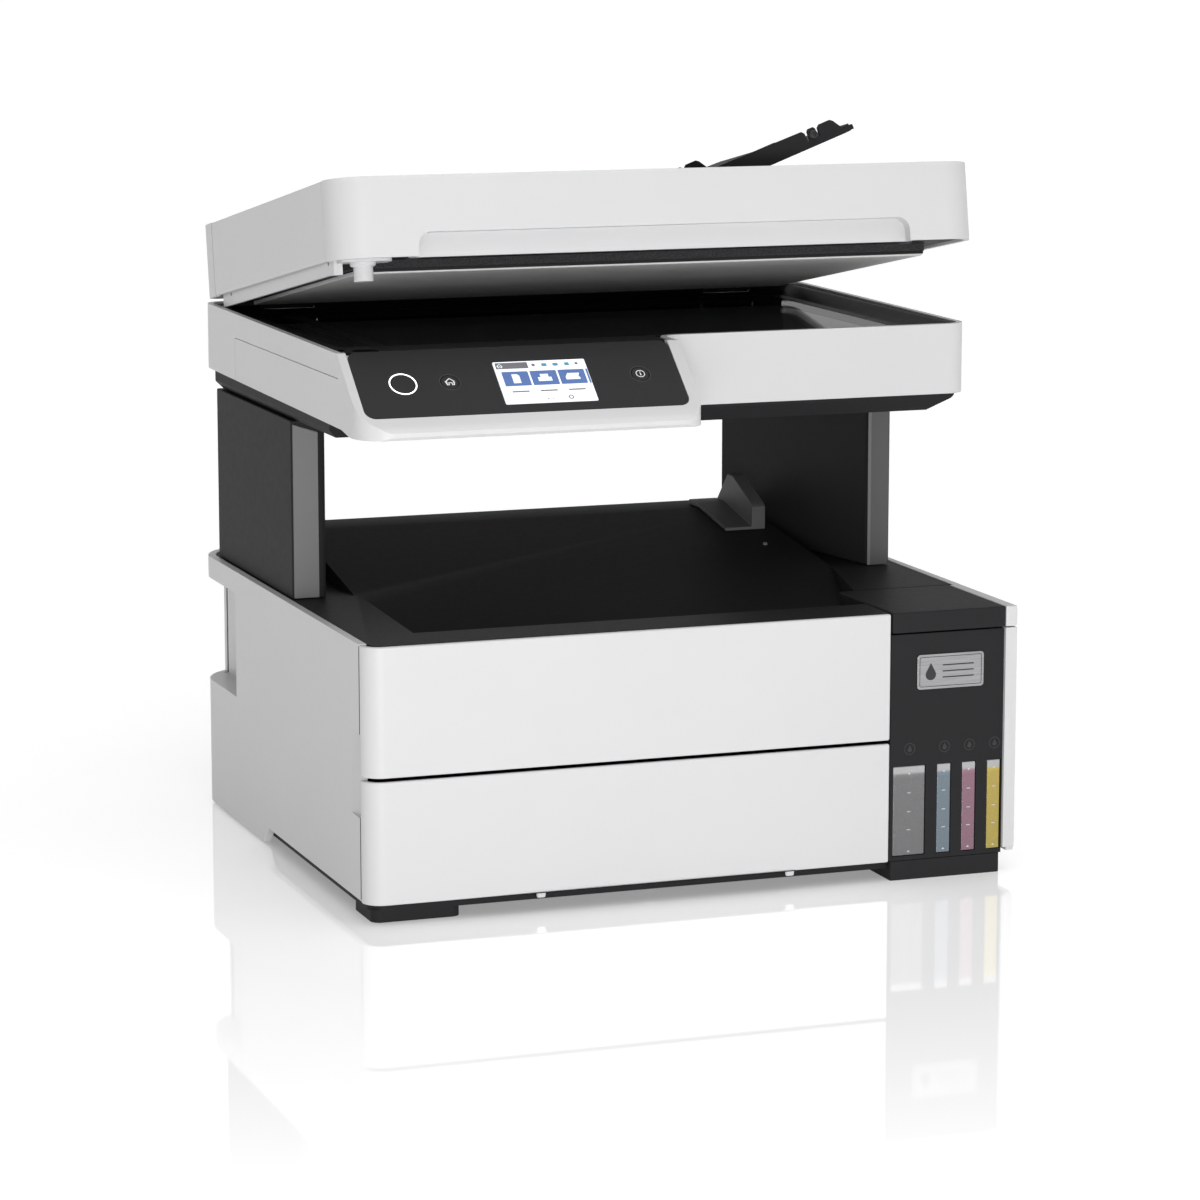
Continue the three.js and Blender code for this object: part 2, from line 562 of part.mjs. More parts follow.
// Plan of the scanner: the control panel stands forward of the right-hand band, with a soft inner corner.
function scannerPlan(inset) {
  const x0 = LEFT + inset;
  const x1 = RIGHT - inset;
  const front = LIP_Y + inset;
  const band = BAND_FRONT_Y + inset;
  const rear = SCAN_REAR_Y - inset;
  const panelX = PANEL_RIGHT_X - inset;
  const outer = 18 - inset;
  const corner = 12 - inset;
  const soft = 8 + inset;
  const plan = new THREE.Shape();
  plan.moveTo(x0 + outer, front);
  plan.lineTo(panelX - corner, front);
  plan.absarc(panelX - corner, front + corner, corner, -Math.PI / 2, 0, false);
  plan.lineTo(panelX, band - soft);
  plan.absarc(panelX + soft, band - soft, soft, Math.PI, Math.PI / 2, true);
  plan.lineTo(x1 - corner, band);
  plan.absarc(x1 - corner, band + corner, corner, -Math.PI / 2, 0, false);
  plan.lineTo(x1, rear - corner);
  plan.absarc(x1 - corner, rear - corner, corner, 0, Math.PI / 2, false);
  plan.lineTo(x0 + corner, rear);
  plan.absarc(x0 + corner, rear - corner, corner, Math.PI / 2, Math.PI, false);
  plan.lineTo(x0, front + outer);
  plan.absarc(x0 + outer, front + outer, outer, Math.PI, Math.PI * 1.5, false);
  return plan;
}

const slopeAngle = Math.atan(slopeRise);
const slopeLength = Math.hypot(SCAN_TOP_Z - SLOPE_FOOT.z, SLOPE_TOP_Y - SLOPE_FOOT.y);
const PANEL = { x0: LEFT + 5, x1: -2.5, v0: 1, v1: slopeLength - 1 };
const BUTTONS = [
  { name: 'power_button', x: -157, v: 25, radius: 6.5 },
  { name: 'home_button', x: -131.2, v: 25, radius: 5 },
  { name: 'help_button', x: -24.5, v: 25, radius: 5 },
];
const LCD = { x0: -104.5, x1: -53, v0: 7.3, v1: 38 };

// Moves a solid's geometry from the slope's own frame (x, up the slope, out of it) into the printer's.
function onSlope(geometry) {
  geometry.rotateX(slopeAngle);
  geometry.translate(0, SLOPE_FOOT.y, SLOPE_FOOT.z);
  return solid(geometry);
}

function slopeBlock(x0, x1, v0, v1, w0, w1, r = 0) {
  const geometry = extruded(roundedRect(x0, x1, v0, v1, [r, r, r, r]), w1 - w0);
  geometry.translate(0, 0, w0);
  return onSlope(geometry);
}

function slopeDisc(button, radius, w0, w1, sides = 24) {
  const geometry = new THREE.CylinderGeometry(radius, radius, w1 - w0, sides);
  geometry.rotateX(Math.PI / 2);
  geometry.translate(button.x, button.v, (w0 + w1) / 2);
  return onSlope(geometry);
}

const PANEL_THICK = 3;
const PANEL_FLOOR_Z = 262;
const scannerForm = raised(scannerPlan(0), 250, 310).intersect(alongX(scannerSide, LEFT - 1, RIGHT + 1));
const hollowSide = outline([
  [SCAN_REAR_Y + 9, 250], [SCAN_REAR_Y + 9, 310], [BAND_FRONT_Y - 20, 310], [BAND_FRONT_Y - 20, 294],
  [SLOPE_FOOT.y + 1, PANEL_FLOOR_Z], [BAND_FRONT_Y - 2, PANEL_FLOOR_Z], [BAND_FRONT_Y - 2, 250]]);
const SEAM = { z: 286, y: 76.5, front: -130, half: 0.3, depth: 0.6 };   // groove in the left side
const HINGE_X = [-138, 138];
const HINGE_HALF = 16;
const HINGE_NOTCH_REAR_Y = SCAN_REAR_Y - 2.6;   // the rear wall closes each hinge notch
const PEG = { x: -168.5, y: -118 };
const hollow = raised(scannerPlan(FRAME_WALL), 240, 320).intersect(alongX(hollowSide, LEFT, RIGHT));
add(printer, 'scanner_frame', cut(
  scannerForm,
  hollow,
  slopeBlock(PANEL.x0 - GAP, PANEL.x1 + GAP, PANEL.v0 - GAP, PANEL.v1 + 6, -PANEL_THICK - GAP, 30, 6),
  slopeBlock(PANEL.x0 + 3, PANEL.x1 - 3, PANEL.v0 + 3, PANEL.v1 + 6, -14, 2, 4),
  ...HINGE_X.map((x) => block(x - HINGE_HALF - 1, x + HINGE_HALF + 1, 133, HINGE_NOTCH_REAR_Y, 294.5, 301)),
  block(LEFT - 1, LEFT + SEAM.depth, SEAM.front, SEAM.y + SEAM.half, SEAM.z - SEAM.half, SEAM.z + SEAM.half),
  block(LEFT - 1, LEFT + SEAM.depth, SEAM.y - SEAM.half, SEAM.y + SEAM.half, 250, SEAM.z),
), WHITE);

add(printer, 'control_panel', cut(
  slopeBlock(PANEL.x0, PANEL.x1, PANEL.v0, PANEL.v1, -PANEL_THICK, -0.2, 5.7),
  slopeBlock(LCD.x0 - GAP, LCD.x1 + GAP, LCD.v0 - GAP, LCD.v1 + GAP, -1.6, 1, 1),
  ...BUTTONS.map((button) => slopeDisc(button, button.radius + GAP, -10, 1)),
), PANEL_BLACK);
add(printer, 'lcd_screen', slopeBlock(LCD.x0, LCD.x1, LCD.v0, LCD.v1, -1.3, -0.2, 0.7), SCREEN);
for (const button of BUTTONS) {
  add(printer, button.name, slopeDisc(button, button.radius, -PANEL_THICK - 1, 0.1), PANEL_BLACK);
}

const BASIN_Z = 290;
const BEZEL_TOP_Z = SCAN_TOP_Z - RIM_FALL - 0.4;
const basinOuter = roundedRect(LEFT + FRAME_WALL + GAP, RIGHT - FRAME_WALL - GAP,
  BAND_FRONT_Y + FRAME_WALL + GAP, SCAN_REAR_Y - FRAME_WALL - GAP, [0, 8, 8, 8]);
const ADF_STRIP = { x0: -164, x1: -148 };
const RIB = { x0: -183.3, x1: -181.3, y0: -112, y1: 116, z: 295.3 };   // rib under the lid's left side
const RIB_POST = { x1: -178.5, y0: -114, y1: -108, z: 294.8 };
add(printer, 'scan_bezel', cut(
  join(
    raised(basinOuter, BASIN_Z, BEZEL_TOP_Z),
    block(LEFT + FRAME_WALL + GAP, PANEL_RIGHT_X - FRAME_WALL - GAP, SLOPE_TOP_Y + 2.5, BAND_FRONT_Y + 5,
      SCAN_TOP_Z - 4, BEZEL_TOP_Z),
  ),
  tapered([-172, 168, GLASS.y0 - 4, GLASS.y1 + 5], GLASS_Z, [-181, 182, BAND_FRONT_Y + 6, 140.5], SCAN_TOP_Z),
  block(GLASS.x0 - GAP, GLASS.x1 + GAP, GLASS.y0 - GAP, GLASS.y1 + GAP, GLASS_Z - 2.6, GLASS_Z + 1),
  block(ADF_STRIP.x0 - GAP, ADF_STRIP.x1 + GAP, GLASS.y0 - GAP, GLASS.y1 + GAP, GLASS_Z - 2.6, GLASS_Z + 1),
  block(GLASS.x0 + 2, GLASS.x1 - 2, GLASS.y0 + 2, GLASS.y1 - 2, BASIN_Z - 1, GLASS_Z),
  block(ADF_STRIP.x0 + 2, ADF_STRIP.x1 - 2, GLASS.y0 + 2, GLASS.y1 - 2, BASIN_Z - 1, GLASS_Z),
  block(LEFT, RIB.x1 + 0.5, RIB.y0 - 4, RIB.y1 + 5, RIB.z - 0.7, SCAN_TOP_Z),
  block(LEFT, RIB_POST.x1 + 0.5, RIB_POST.y0 - 1, RIB_POST.y1 + 1, RIB_POST.z - 0.6, SCAN_TOP_Z),
  rod('z', PEG.x, PEG.y, SCAN_TOP_Z - 5, 7.5, 30),
  ...HINGE_X.map((x) => block(x - HINGE_HALF - 1, x + HINGE_HALF + 1, 117, SCAN_REAR_Y + 1, 294.5, 301)),
), GLOSS_BLACK);
add(printer, 'platen_glass',
  block(GLASS.x0, GLASS.x1, GLASS.y0, GLASS.y1, GLASS_Z - 2.3, GLASS_Z - 0.1), GLASS_CLEAR);
add(printer, 'adf_glass',
  block(ADF_STRIP.x0, ADF_STRIP.x1, GLASS.y0, GLASS.y1, GLASS_Z - 2.3, GLASS_Z - 0.1), GLASS_CLEAR);

const TUB_BOTTOM_Z = 250;
const TUB_TOP_Z = 262;
const tubSection = outline([
  [LEFT + FRAME_WALL + GAP, TUB_TOP_Z], [LEFT + FRAME_WALL + GAP, 255], [-179, TUB_BOTTOM_Z],
  [166, TUB_BOTTOM_Z], [RIGHT - FRAME_WALL - GAP, 259], [RIGHT - FRAME_WALL - GAP, TUB_TOP_Z]]);
const tubSide = outline([
  [BAND_FRONT_Y + FRAME_WALL + GAP, TUB_TOP_Z], [BAND_FRONT_Y + FRAME_WALL + GAP, 258], [-96, TUB_BOTTOM_Z],
  [136, TUB_BOTTOM_Z], [SCAN_REAR_Y - FRAME_WALL - GAP, 258], [SCAN_REAR_Y - FRAME_WALL - GAP, TUB_TOP_Z]]);
add(printer, 'scanner_bottom', cut(
  alongY(tubSection, -150, 160).intersect(alongX(tubSide, -200, 200))
    .intersect(raised(scannerPlan(FRAME_WALL + GAP), TUB_BOTTOM_Z - 1, TUB_TOP_Z + 1)),
  block(-176, 163, -92, 132, TUB_BOTTOM_Z + WALL, TUB_TOP_Z + 1),
), CHARCOAL);

add(printer, 'scan_guide_rod', rod('x', 0, 10, 272, 4, 352, 12), STEEL);
add(printer, 'scan_carriage', cut(
  block(-172, -140, -90, 120, 265, 288),
  block(-173, -139, 5.5, 14.5, 264, 276.5),
  block(-160, -152, -80, 110, 285, 290),
), CHARCOAL);

// ---------------------------------------------------------------- lid, closed inside a tilted group

const lidTurn = new THREE.Group();
lidTurn.position.set(0, LID_HINGE.y, LID_HINGE.z);
lidTurn.rotation.x = -LID_TILT;
const lid = new THREE.Group();
lid.position.set(0, -LID_HINGE.y, -LID_HINGE.z);
lidTurn.add(lid);
printer.add(lidTurn);

const LID_FLOOR_Z = [304, 307];
const WELL_RIGHT = 150;
const WELL_HALF_Y = 112;
const WELL_FLOOR_Z = 316;

function lidPlan(inset) {
  const r = 20 - inset;
  return roundedRect(LID.x0 + inset, LID.x1 - inset, LID.y0 + inset, LID.y1 - inset, [r, r, 8, 8]);
}

// The hand recess under the front edge of the lid, with rounded upper corners.
function gripPlan(x0, x1, z0, z1, r) {
  const shape = new THREE.Shape();
  shape.moveTo(x0, z0);
  shape.lineTo(x1, z0);
  shape.lineTo(x1, z1 - r);
  shape.absarc(x1 - r, z1 - r, r, 0, Math.PI / 2, false);
  shape.lineTo(x0 + r, z1);
  shape.absarc(x0 + r, z1 - r, r, Math.PI / 2, Math.PI, false);
  return shape;
}

const GRIP = { x0: -142, x1: 140, z1: 314.5, depth: 7 };
const innerLid = raised(lidPlan(WALL), LID.z0 - 1, LID.z1 - WALL);
const adfRoom = block(LID.x0 - 1, ADF_COVER_RIGHT + GAP, ADF_SEAM_Y - GAP, 118, LID_FLOOR_Z[1], LID.z1 + 1);
const adfSide = block(LID.x0 - 1, LID.x0 + WALL + GAP, ADF_SEAM_Y - GAP, 118, LID.z0 - 1, LID.z1 + 1);
add(lid, 'lid_shell', cut(
  join(
    cut(raised(lidPlan(0), LID.z0, LID.z1), innerLid),
    raised(lidPlan(WALL - 1), ...LID_FLOOR_Z),
    cut(
      block(ADF_COVER_RIGHT + GAP, WELL_RIGHT + WALL, -WELL_HALF_Y - WALL, WELL_HALF_Y + WALL,
        WELL_FLOOR_Z - WALL, LID.z1 - 1),
      block(ADF_COVER_RIGHT - 1, WELL_RIGHT, -WELL_HALF_Y, WELL_HALF_Y, WELL_FLOOR_Z, LID.z1 + 1),
    ),
    alongY(gripPlan(GRIP.x0 - WALL, GRIP.x1 + WALL, LID.z0, GRIP.z1 + WALL, 9), LID.y0 + 1,
      LID.y0 + GRIP.depth + WALL),
    block(RIB.x0, RIB.x1, RIB.y0, RIB.y1, RIB.z, LID_FLOOR_Z[0] + 1),
    block(RIB.x0, RIB_POST.x1, RIB_POST.y0, RIB_POST.y1, RIB_POST.z, LID_FLOOR_Z[0] + 1),
    raised(roundedRect(PEG.x - 13, PEG.x + 15, PEG.y - 8, PEG.y + 8, [5, 5, 5, 5]), SCAN_TOP_Z + 0.6,
      LID_FLOOR_Z[0] + 1),
    rod('z', PEG.x, PEG.y, LID_FLOOR_Z[0] - 6.5, 5.2, 14, 20),
  ),
  adfRoom,
  adfSide,
  block(ADF_COVER_RIGHT - 1, WELL_RIGHT, -WELL_HALF_Y, WELL_HALF_Y, WELL_FLOOR_Z, LID.z1 + 1),
  alongY(gripPlan(GRIP.x0, GRIP.x1, LID.z0 - 1, GRIP.z1, 7), LID.y0 - 1, LID.y0 + GRIP.depth),
  ...HINGE_X.map((x) => block(x - HINGE_HALF - 0.5, x + HINGE_HALF + 0.5, 126.5, 139,
    LID.z0 - 1, LID_FLOOR_Z[0])),
), WHITE);

const FOAM_BOTTOM_Z = 299;
add(lid, 'lid_foam',
  raised(roundedRect(-168, 168, -94, 123, [6, 6, 6, 6]), FOAM_BOTTOM_Z, LID_FLOOR_Z[0] - GAP), FOAM);
add(lid, 'document_mat', block(-164, 166, -91, 121, 296.4, FOAM_BOTTOM_Z - GAP), MAT_WHITE);

for (const [name, x] of [['lid_hinge_left', HINGE_X[0]], ['lid_hinge_right', HINGE_X[1]]]) {
  add(lid, name, join(
    rod('x', x, LID_HINGE.y - 1, LID_HINGE.z, 4, HINGE_HALF * 2, 16),
    block(x - HINGE_HALF, x + HINGE_HALF, 127, LID_HINGE.y - 1, 300.5, LID_FLOOR_Z[0] - GAP),
  ), CHARCOAL);
}

const coverPlan = roundedRect(LID.x0, ADF_COVER_RIGHT, ADF_SEAM_Y, 118 - GAP, [0, 0, 0, 0]);
add(lid, 'adf_cover', cut(
  raised(coverPlan, LID.z0 + 0.4, LID.z1),
  block(LID.x0 + WALL, ADF_COVER_RIGHT + 1, ADF_SEAM_Y - 1, 119, LID.z0, LID_FLOOR_Z[1] + GAP),
  block(LID.x0 + WALL, ADF_COVER_RIGHT - WALL, ADF_SEAM_Y + WALL, 118 - WALL, LID.z0, LID.z1 - WALL),
  block(-60, ADF_COVER_RIGHT + 1, -109, 109, LID.z0, LID.z1 - 8),
), WHITE);

// The fixed chute that leads originals from the input tray to the roller; copies leave under it.
const CHUTE = { x0: -60, x1: 29.5, halfY: 107, z0: 329.5, z1: 333 };
add(lid, 'adf_chute', join(
  block(CHUTE.x0, CHUTE.x1, -CHUTE.halfY, CHUTE.halfY, CHUTE.z0, CHUTE.z1),
  ...[-1, 1].map((side) => block(ADF_COVER_RIGHT + 1, CHUTE.x1, side * CHUTE.halfY - 1.5,
    side * CHUTE.halfY + 1.5, WELL_FLOOR_Z + GAP, CHUTE.z1 + 5)),
), CHARCOAL);

const ROLLER = { x: -92, z: 322, radius: 9 };
add(lid, 'adf_feed_roller', join(
  rod('y', ROLLER.x, 0, ROLLER.z, 3, 180, 12),
  rod('y', ROLLER.x, 0, ROLLER.z, ROLLER.radius, 44, 20),
), RUBBER);

// ---------------------------------------------------------------- input tray, flat in its tilted group

const trayTurn = new THREE.Group();
trayTurn.position.set(TRAY_HINGE.x, 0, TRAY_HINGE.z);
trayTurn.rotation.y = -TRAY_TILT;
lid.add(trayTurn);

const TRAY_THICK = 4;
const FENCE_Y = TRAY_HALF_WIDTH - 2.2;

// The side fence (along the tray, up from it), with a stop between two slits and a low lip at the end.
const fence = outline([
  [3, 0], [TRAY_LENGTH - 0.7, 0.4], [TRAY_LENGTH - 0.7, 3.2], [89.6, 3.9], [86.2, 9], [84.5, 10.2],
  [78, 10.2], [76.4, 8.8], [75.8, 3.2], [74.8, 3.2], [74.6, 9], [73.6, 10.2], [70.8, 10.2], [69.8, 9],
  [69.2, 3], [68, 3], [67.6, 8.6], [66.2, 10.2], [36, 10.6], [8, 11.2], [3, 11.2]]);
add(trayTurn, 'adf_input_tray', join(
  raised(roundedRect(0, TRAY_LENGTH, -TRAY_HALF_WIDTH, TRAY_HALF_WIDTH, [2, 8, 8, 2]), 0, TRAY_THICK),
  rod('y', 0, 0, TRAY_THICK / 2, TRAY_THICK / 2, TRAY_HALF_WIDTH * 2, 12),
  alongY(fence, -TRAY_HALF_WIDTH, -FENCE_Y),
  alongY(fence, FENCE_Y, TRAY_HALF_WIDTH),
), CHARCOAL);

for (const [name, side] of [['adf_guide_front', -1], ['adf_guide_rear', 1]]) {
  const face = side * 96;
  const plate0 = Math.min(face, face - side * 24);
  const wall0 = Math.min(face, face + side * 2);
  add(trayTurn, name, join(
    block(12, 52, wall0, wall0 + 2, TRAY_THICK + GAP, TRAY_THICK + 6.5),
    block(18, 46, plate0, plate0 + 24, TRAY_THICK + GAP, TRAY_THICK + 1.8),
  ), GREY);
}

export default printer;
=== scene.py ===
# The inkjet printer's visual model: finishes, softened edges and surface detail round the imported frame.
# +Z is up, +X is right seen from the front, and the front faces -Y. Shapes are given in millimetres and
# turned into metres by MM; the places and sizes of the camera, the lights and the floor are in metres.

import json
import math

import bmesh
import bpy
from mathutils import Matrix, Vector

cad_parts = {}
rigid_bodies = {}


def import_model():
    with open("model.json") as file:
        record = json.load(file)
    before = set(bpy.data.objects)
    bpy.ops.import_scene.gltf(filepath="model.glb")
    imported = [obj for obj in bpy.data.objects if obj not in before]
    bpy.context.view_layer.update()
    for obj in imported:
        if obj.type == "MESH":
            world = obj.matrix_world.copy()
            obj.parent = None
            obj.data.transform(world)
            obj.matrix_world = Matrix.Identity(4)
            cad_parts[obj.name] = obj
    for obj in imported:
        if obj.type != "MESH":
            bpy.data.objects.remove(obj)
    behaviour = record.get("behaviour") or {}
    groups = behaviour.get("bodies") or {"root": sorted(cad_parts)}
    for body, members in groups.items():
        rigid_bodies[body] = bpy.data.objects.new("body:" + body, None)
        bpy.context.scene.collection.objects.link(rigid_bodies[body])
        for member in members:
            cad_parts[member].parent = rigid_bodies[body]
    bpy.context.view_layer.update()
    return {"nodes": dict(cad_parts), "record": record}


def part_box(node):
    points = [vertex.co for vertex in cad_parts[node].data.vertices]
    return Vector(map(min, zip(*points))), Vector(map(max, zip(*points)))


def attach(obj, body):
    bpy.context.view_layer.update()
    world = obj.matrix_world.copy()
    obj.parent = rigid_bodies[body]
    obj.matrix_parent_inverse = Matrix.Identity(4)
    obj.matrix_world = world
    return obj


for leftover in list(bpy.data.objects):
    bpy.data.objects.remove(leftover)

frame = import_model()
MM = 0.001

# ------------------------------------------------------------------ view, stage and light

AZIMUTH = math.radians(-20)
ELEVATION = math.radians(9.9)
TARGET = Vector((0.006, 0.0, 0.1354))
DISTANCE = 2.411
LENS = 125.9
SENSOR_WIDTH = 36
CLIP_END = 100
FLOOR_SIZE = 80
# Light from the surroundings, by the sine of the elevation that it comes from.
WORLD_STOPS = ((0.0, 1.0), (0.26, 1.0), (0.34, 0.22), (0.8, 0.2))


def heading(azimuth, elevation):
    """The direction in which a viewer at this azimuth and elevation looks."""
    level = math.cos(elevation)
    return Vector((-math.sin(azimuth) * level, math.cos(azimuth) * level, -math.sin(elevation)))


def link(obj):
    bpy.context.scene.collection.objects.link(obj)
    return obj


def make_camera():
    data = bpy.data.cameras.new("camera")
    data.lens = LENS
    data.sensor_width = SENSOR_WIDTH
    data.clip_end = CLIP_END
    camera = link(bpy.data.objects.new("camera", data))
    look = heading(AZIMUTH, ELEVATION)
    camera.location = TARGET - look * DISTANCE
    camera.rotation_euler = look.to_track_quat("-Z", "Y").to_euler()
    bpy.context.scene.camera = camera


def area_light(name, place, towards, size, power):
    data = bpy.data.lights.new(name, "AREA")
    data.shape = "RECTANGLE"
    data.size, data.size_y = size
    data.energy = power
    lamp = link(bpy.data.objects.new(name, data))
    lamp.location = place
    lamp.rotation_euler = (Vector(towards) - Vector(place)).to_track_quat("-Z", "Y").to_euler()


def sun_light(name, azimuth, elevation, angle, strength):
    data = bpy.data.lights.new(name, "SUN")
    data.angle = math.radians(angle)
    data.energy = strength
    lamp = link(bpy.data.objects.new(name, data))
    look = heading(math.radians(azimuth), math.radians(elevation))
    lamp.rotation_euler = look.to_track_quat("-Z", "Y").to_euler()


def make_world():
    """A studio that is bright at the horizon, as white walls are, and dimmer overhead."""
    world = bpy.data.worlds.new("studio")
    world.use_nodes = True
    tree = world.node_tree
    direction = tree.nodes.new("ShaderNodeTexCoord")
    split = tree.nodes.new("ShaderNodeSeparateXYZ")
    ramp = tree.nodes.new("ShaderNodeValToRGB")
    points = ramp.color_ramp.elements
    while len(points) < len(WORLD_STOPS):
        points.new(0.5)
    for point, (rise, level) in zip(points, WORLD_STOPS):
        point.position = rise
        point.color = (level, level, level, 1)
    tree.links.new(direction.outputs["Generated"], split.inputs["Vector"])
    tree.links.new(split.outputs["Z"], ramp.inputs["Fac"])
    tree.links.new(ramp.outputs["Color"], tree.nodes["Background"].inputs["Color"])
    bpy.context.scene.world = world


def make_floor():
    """A floor at Z 0, whose normals point up."""
    bm = bmesh.new()
    bmesh.ops.create_grid(bm, x_segments=1, y_segments=1, size=FLOOR_SIZE / 2)
    mesh = bpy.data.meshes.new("floor")
    bm.to_mesh(mesh)
    bm.free()
    obj = link(bpy.data.objects.new("floor", mesh))
    obj.data.materials.append(pale_floor("pale_floor"))


# ------------------------------------------------------------------ materials

# Most of a noise lies between these two values.
NOISE_LOW = 0.3
NOISE_HIGH = 0.7


class Shade:
    """A Principled material under construction, with short calls for the nodes that feed it."""

    def __init__(self, name):
        self.material = bpy.data.materials.new(name)
        self.material.use_nodes = True
        self.tree = self.material.node_tree
        self.shader = self.tree.nodes["Principled BSDF"]
        self.place = self.tree.nodes.new("ShaderNodeTexCoord").outputs["Object"]

    def set(self, **values):
        for key, value in values.items():
            self.shader.inputs[key.replace("_", " ").title().replace("Ior", "IOR")].default_value = value

    def feed(self, socket, source):
        self.tree.links.new(source, self.shader.inputs[socket])

    def node(self, kind, **settings):
        made = self.tree.nodes.new(kind)
        for key, value in settings.items():
            setattr(made, key, value)
        return made

    def noise(self, scale, detail, stretch=(1, 1, 1)):
        mapping = self.node("ShaderNodeMapping")
        mapping.inputs["Scale"].default_value = stretch
        self.tree.links.new(self.place, mapping.inputs["Vector"])
        made = self.node("ShaderNodeTexNoise")
        made.inputs["Scale"].default_value = scale
        made.inputs["Detail"].default_value = detail
        self.tree.links.new(mapping.outputs["Vector"], made.inputs["Vector"])
        return made.outputs["Fac"]

    def cells(self, scale, feature="F1"):
        made = self.node("ShaderNodeTexVoronoi", feature=feature)
        made.inputs["Scale"].default_value = scale
        self.tree.links.new(self.place, made.inputs["Vector"])
        return made.outputs["Distance"]

    def height(self):
        """The height above the floor, in metres."""
        split = self.node("ShaderNodeSeparateXYZ")
        self.tree.links.new(self.place, split.inputs["Vector"])
        return split.outputs["Z"]

    def ramp(self, source, *stops):
        made = self.node("ShaderNodeValToRGB")
        points = made.color_ramp.elements
        while len(points) < len(stops):
            points.new(0.5)
        for point, (position, colour) in zip(points, stops):
            point.position = position
            point.color = (*colour, 1)
        self.tree.links.new(source, made.inputs["Fac"])
        return made.outputs["Color"]

    def tones(self, source, dark, light):
        """The two colours between which a noise drifts."""
        return self.ramp(source, (NOISE_LOW, dark), (NOISE_HIGH, light))

    def spread(self, source, low, high, from_low=NOISE_LOW, from_high=NOISE_HIGH):
        """The source's values from from_low to from_high, spread from low to high."""
        made = self.node("ShaderNodeMapRange")
        made.inputs["From Min"].default_value = from_low
        made.inputs["From Max"].default_value = from_high
        made.inputs["To Min"].default_value = low
        made.inputs["To Max"].default_value = high
        self.tree.links.new(source, made.inputs["Value"])
        return made.outputs["Result"]

    def bump(self, source, strength, depth):
        """Relief in the material, its depth in millimetres."""
        made = self.node("ShaderNodeBump")
        made.inputs["Strength"].default_value = strength
        made.inputs["Distance"].default_value = depth * MM
        self.tree.links.new(source, made.inputs["Height"])
        self.feed("Normal", made.outputs["Normal"])


def tint(colour, by):
    """A colour made lighter or darker by a factor."""
    return tuple(min(1.0, c * by) for c in colour)


SHEEN_DRIFT = 0.02


def moulded(name, colour, roughness, grain=1400, relief=0.12, drift=0.04, gloss=0.5):
    """Injection-moulded plastic: a fine spark-eroded grain, slow drift in tone, and uneven sheen."""
    shade = Shade(name)
    shade.feed("Base Color", shade.tones(
        shade.noise(14, detail=3), tint(colour, 1 - drift), tint(colour, 1 + drift)))
    shade.feed("Roughness", shade.spread(
        shade.noise(260, detail=4), roughness - SHEEN_DRIFT, roughness + SHEEN_DRIFT))
    shade.bump(shade.noise(grain, detail=3), strength=relief, depth=0.05)
    shade.set(specular_ior_level=gloss)
    return shade.material


LINE_STRETCH = 0.02


def brushed(name, colour, roughness, along):
    """Drawn or brushed metal, with its lines along one axis."""
    shade = Shade(name)
    stretch = tuple(LINE_STRETCH if axis == along else 1 for axis in "xyz")
    lines = shade.noise(2600, detail=4, stretch=stretch)
    shade.feed("Base Color", shade.tones(lines, tint(colour, 0.86), tint(colour, 1.1)))
    shade.feed("Roughness", shade.spread(lines, roughness - 0.08, roughness + 0.1))
    shade.bump(lines, strength=0.15, depth=0.03)
    shade.set(metallic=1.0)
    return shade.material


def open_foam(name, colour):
    """Dark foam with open pores, painted darker in their pits as painted shade and lighter towards their
    rims.
    """
    shade = Shade(name)
    pores = shade.cells(900)
    shade.feed("Base Color", shade.ramp(pores, (0.0, tint(colour, 0.4)), (0.6, tint(colour, 1.6))))
    shade.bump(pores, strength=0.8, depth=0.5)
    shade.set(roughness=0.95)
    return shade.material


def rubber(name, colour):
    """Matt rubber with a dusty, uneven tone."""
    shade = Shade(name)
    shade.feed("Base Color", shade.tones(shade.noise(60, detail=5), tint(colour, 0.8), tint(colour, 1.3)))
    shade.feed("Roughness", shade.spread(shade.noise(500, detail=3), 0.65, 0.85))
    shade.bump(shade.noise(2200, detail=2), strength=0.3, depth=0.06)
    return shade.material


def clear_glass(name):
    """Half-clear dark glass, as it looks over the dark inside of the scanner."""
    shade = Shade(name)
    shade.feed("Base Color", shade.tones(
        shade.noise(9, detail=2), (0.010, 0.012, 0.012), (0.013, 0.016, 0.016)))
    shade.feed("Roughness", shade.spread(shade.noise(30, detail=4), 0.03, 0.06))
    shade.set(alpha=0.5, ior=1.5, specular_ior_level=0.03)
    return shade.material


def glowing(name, colour, strength):
    """A lit surface, with the slight unevenness of its light guide."""
    shade = Shade(name)
    light = shade.tones(shade.noise(240, detail=2), tint(colour, 0.94), tint(colour, 1.04))
    shade.feed("Base Color", light)
    shade.feed("Roughness", shade.spread(shade.noise(80, detail=3), 0.12, 0.2))
    shade.feed("Emission Color", light)
    shade.set(emission_strength=strength)
    return shade.material


INK_LEVEL = 59
TANK_TOP = 110
FROSTED_CLEAR = (0.33, 0.33, 0.335)
# How far the ink line's lighter edge reaches below the line, and its blur above, as shares of the height.
INK_EDGE_BELOW = 0.02
INK_EDGE_ABOVE = 0.012


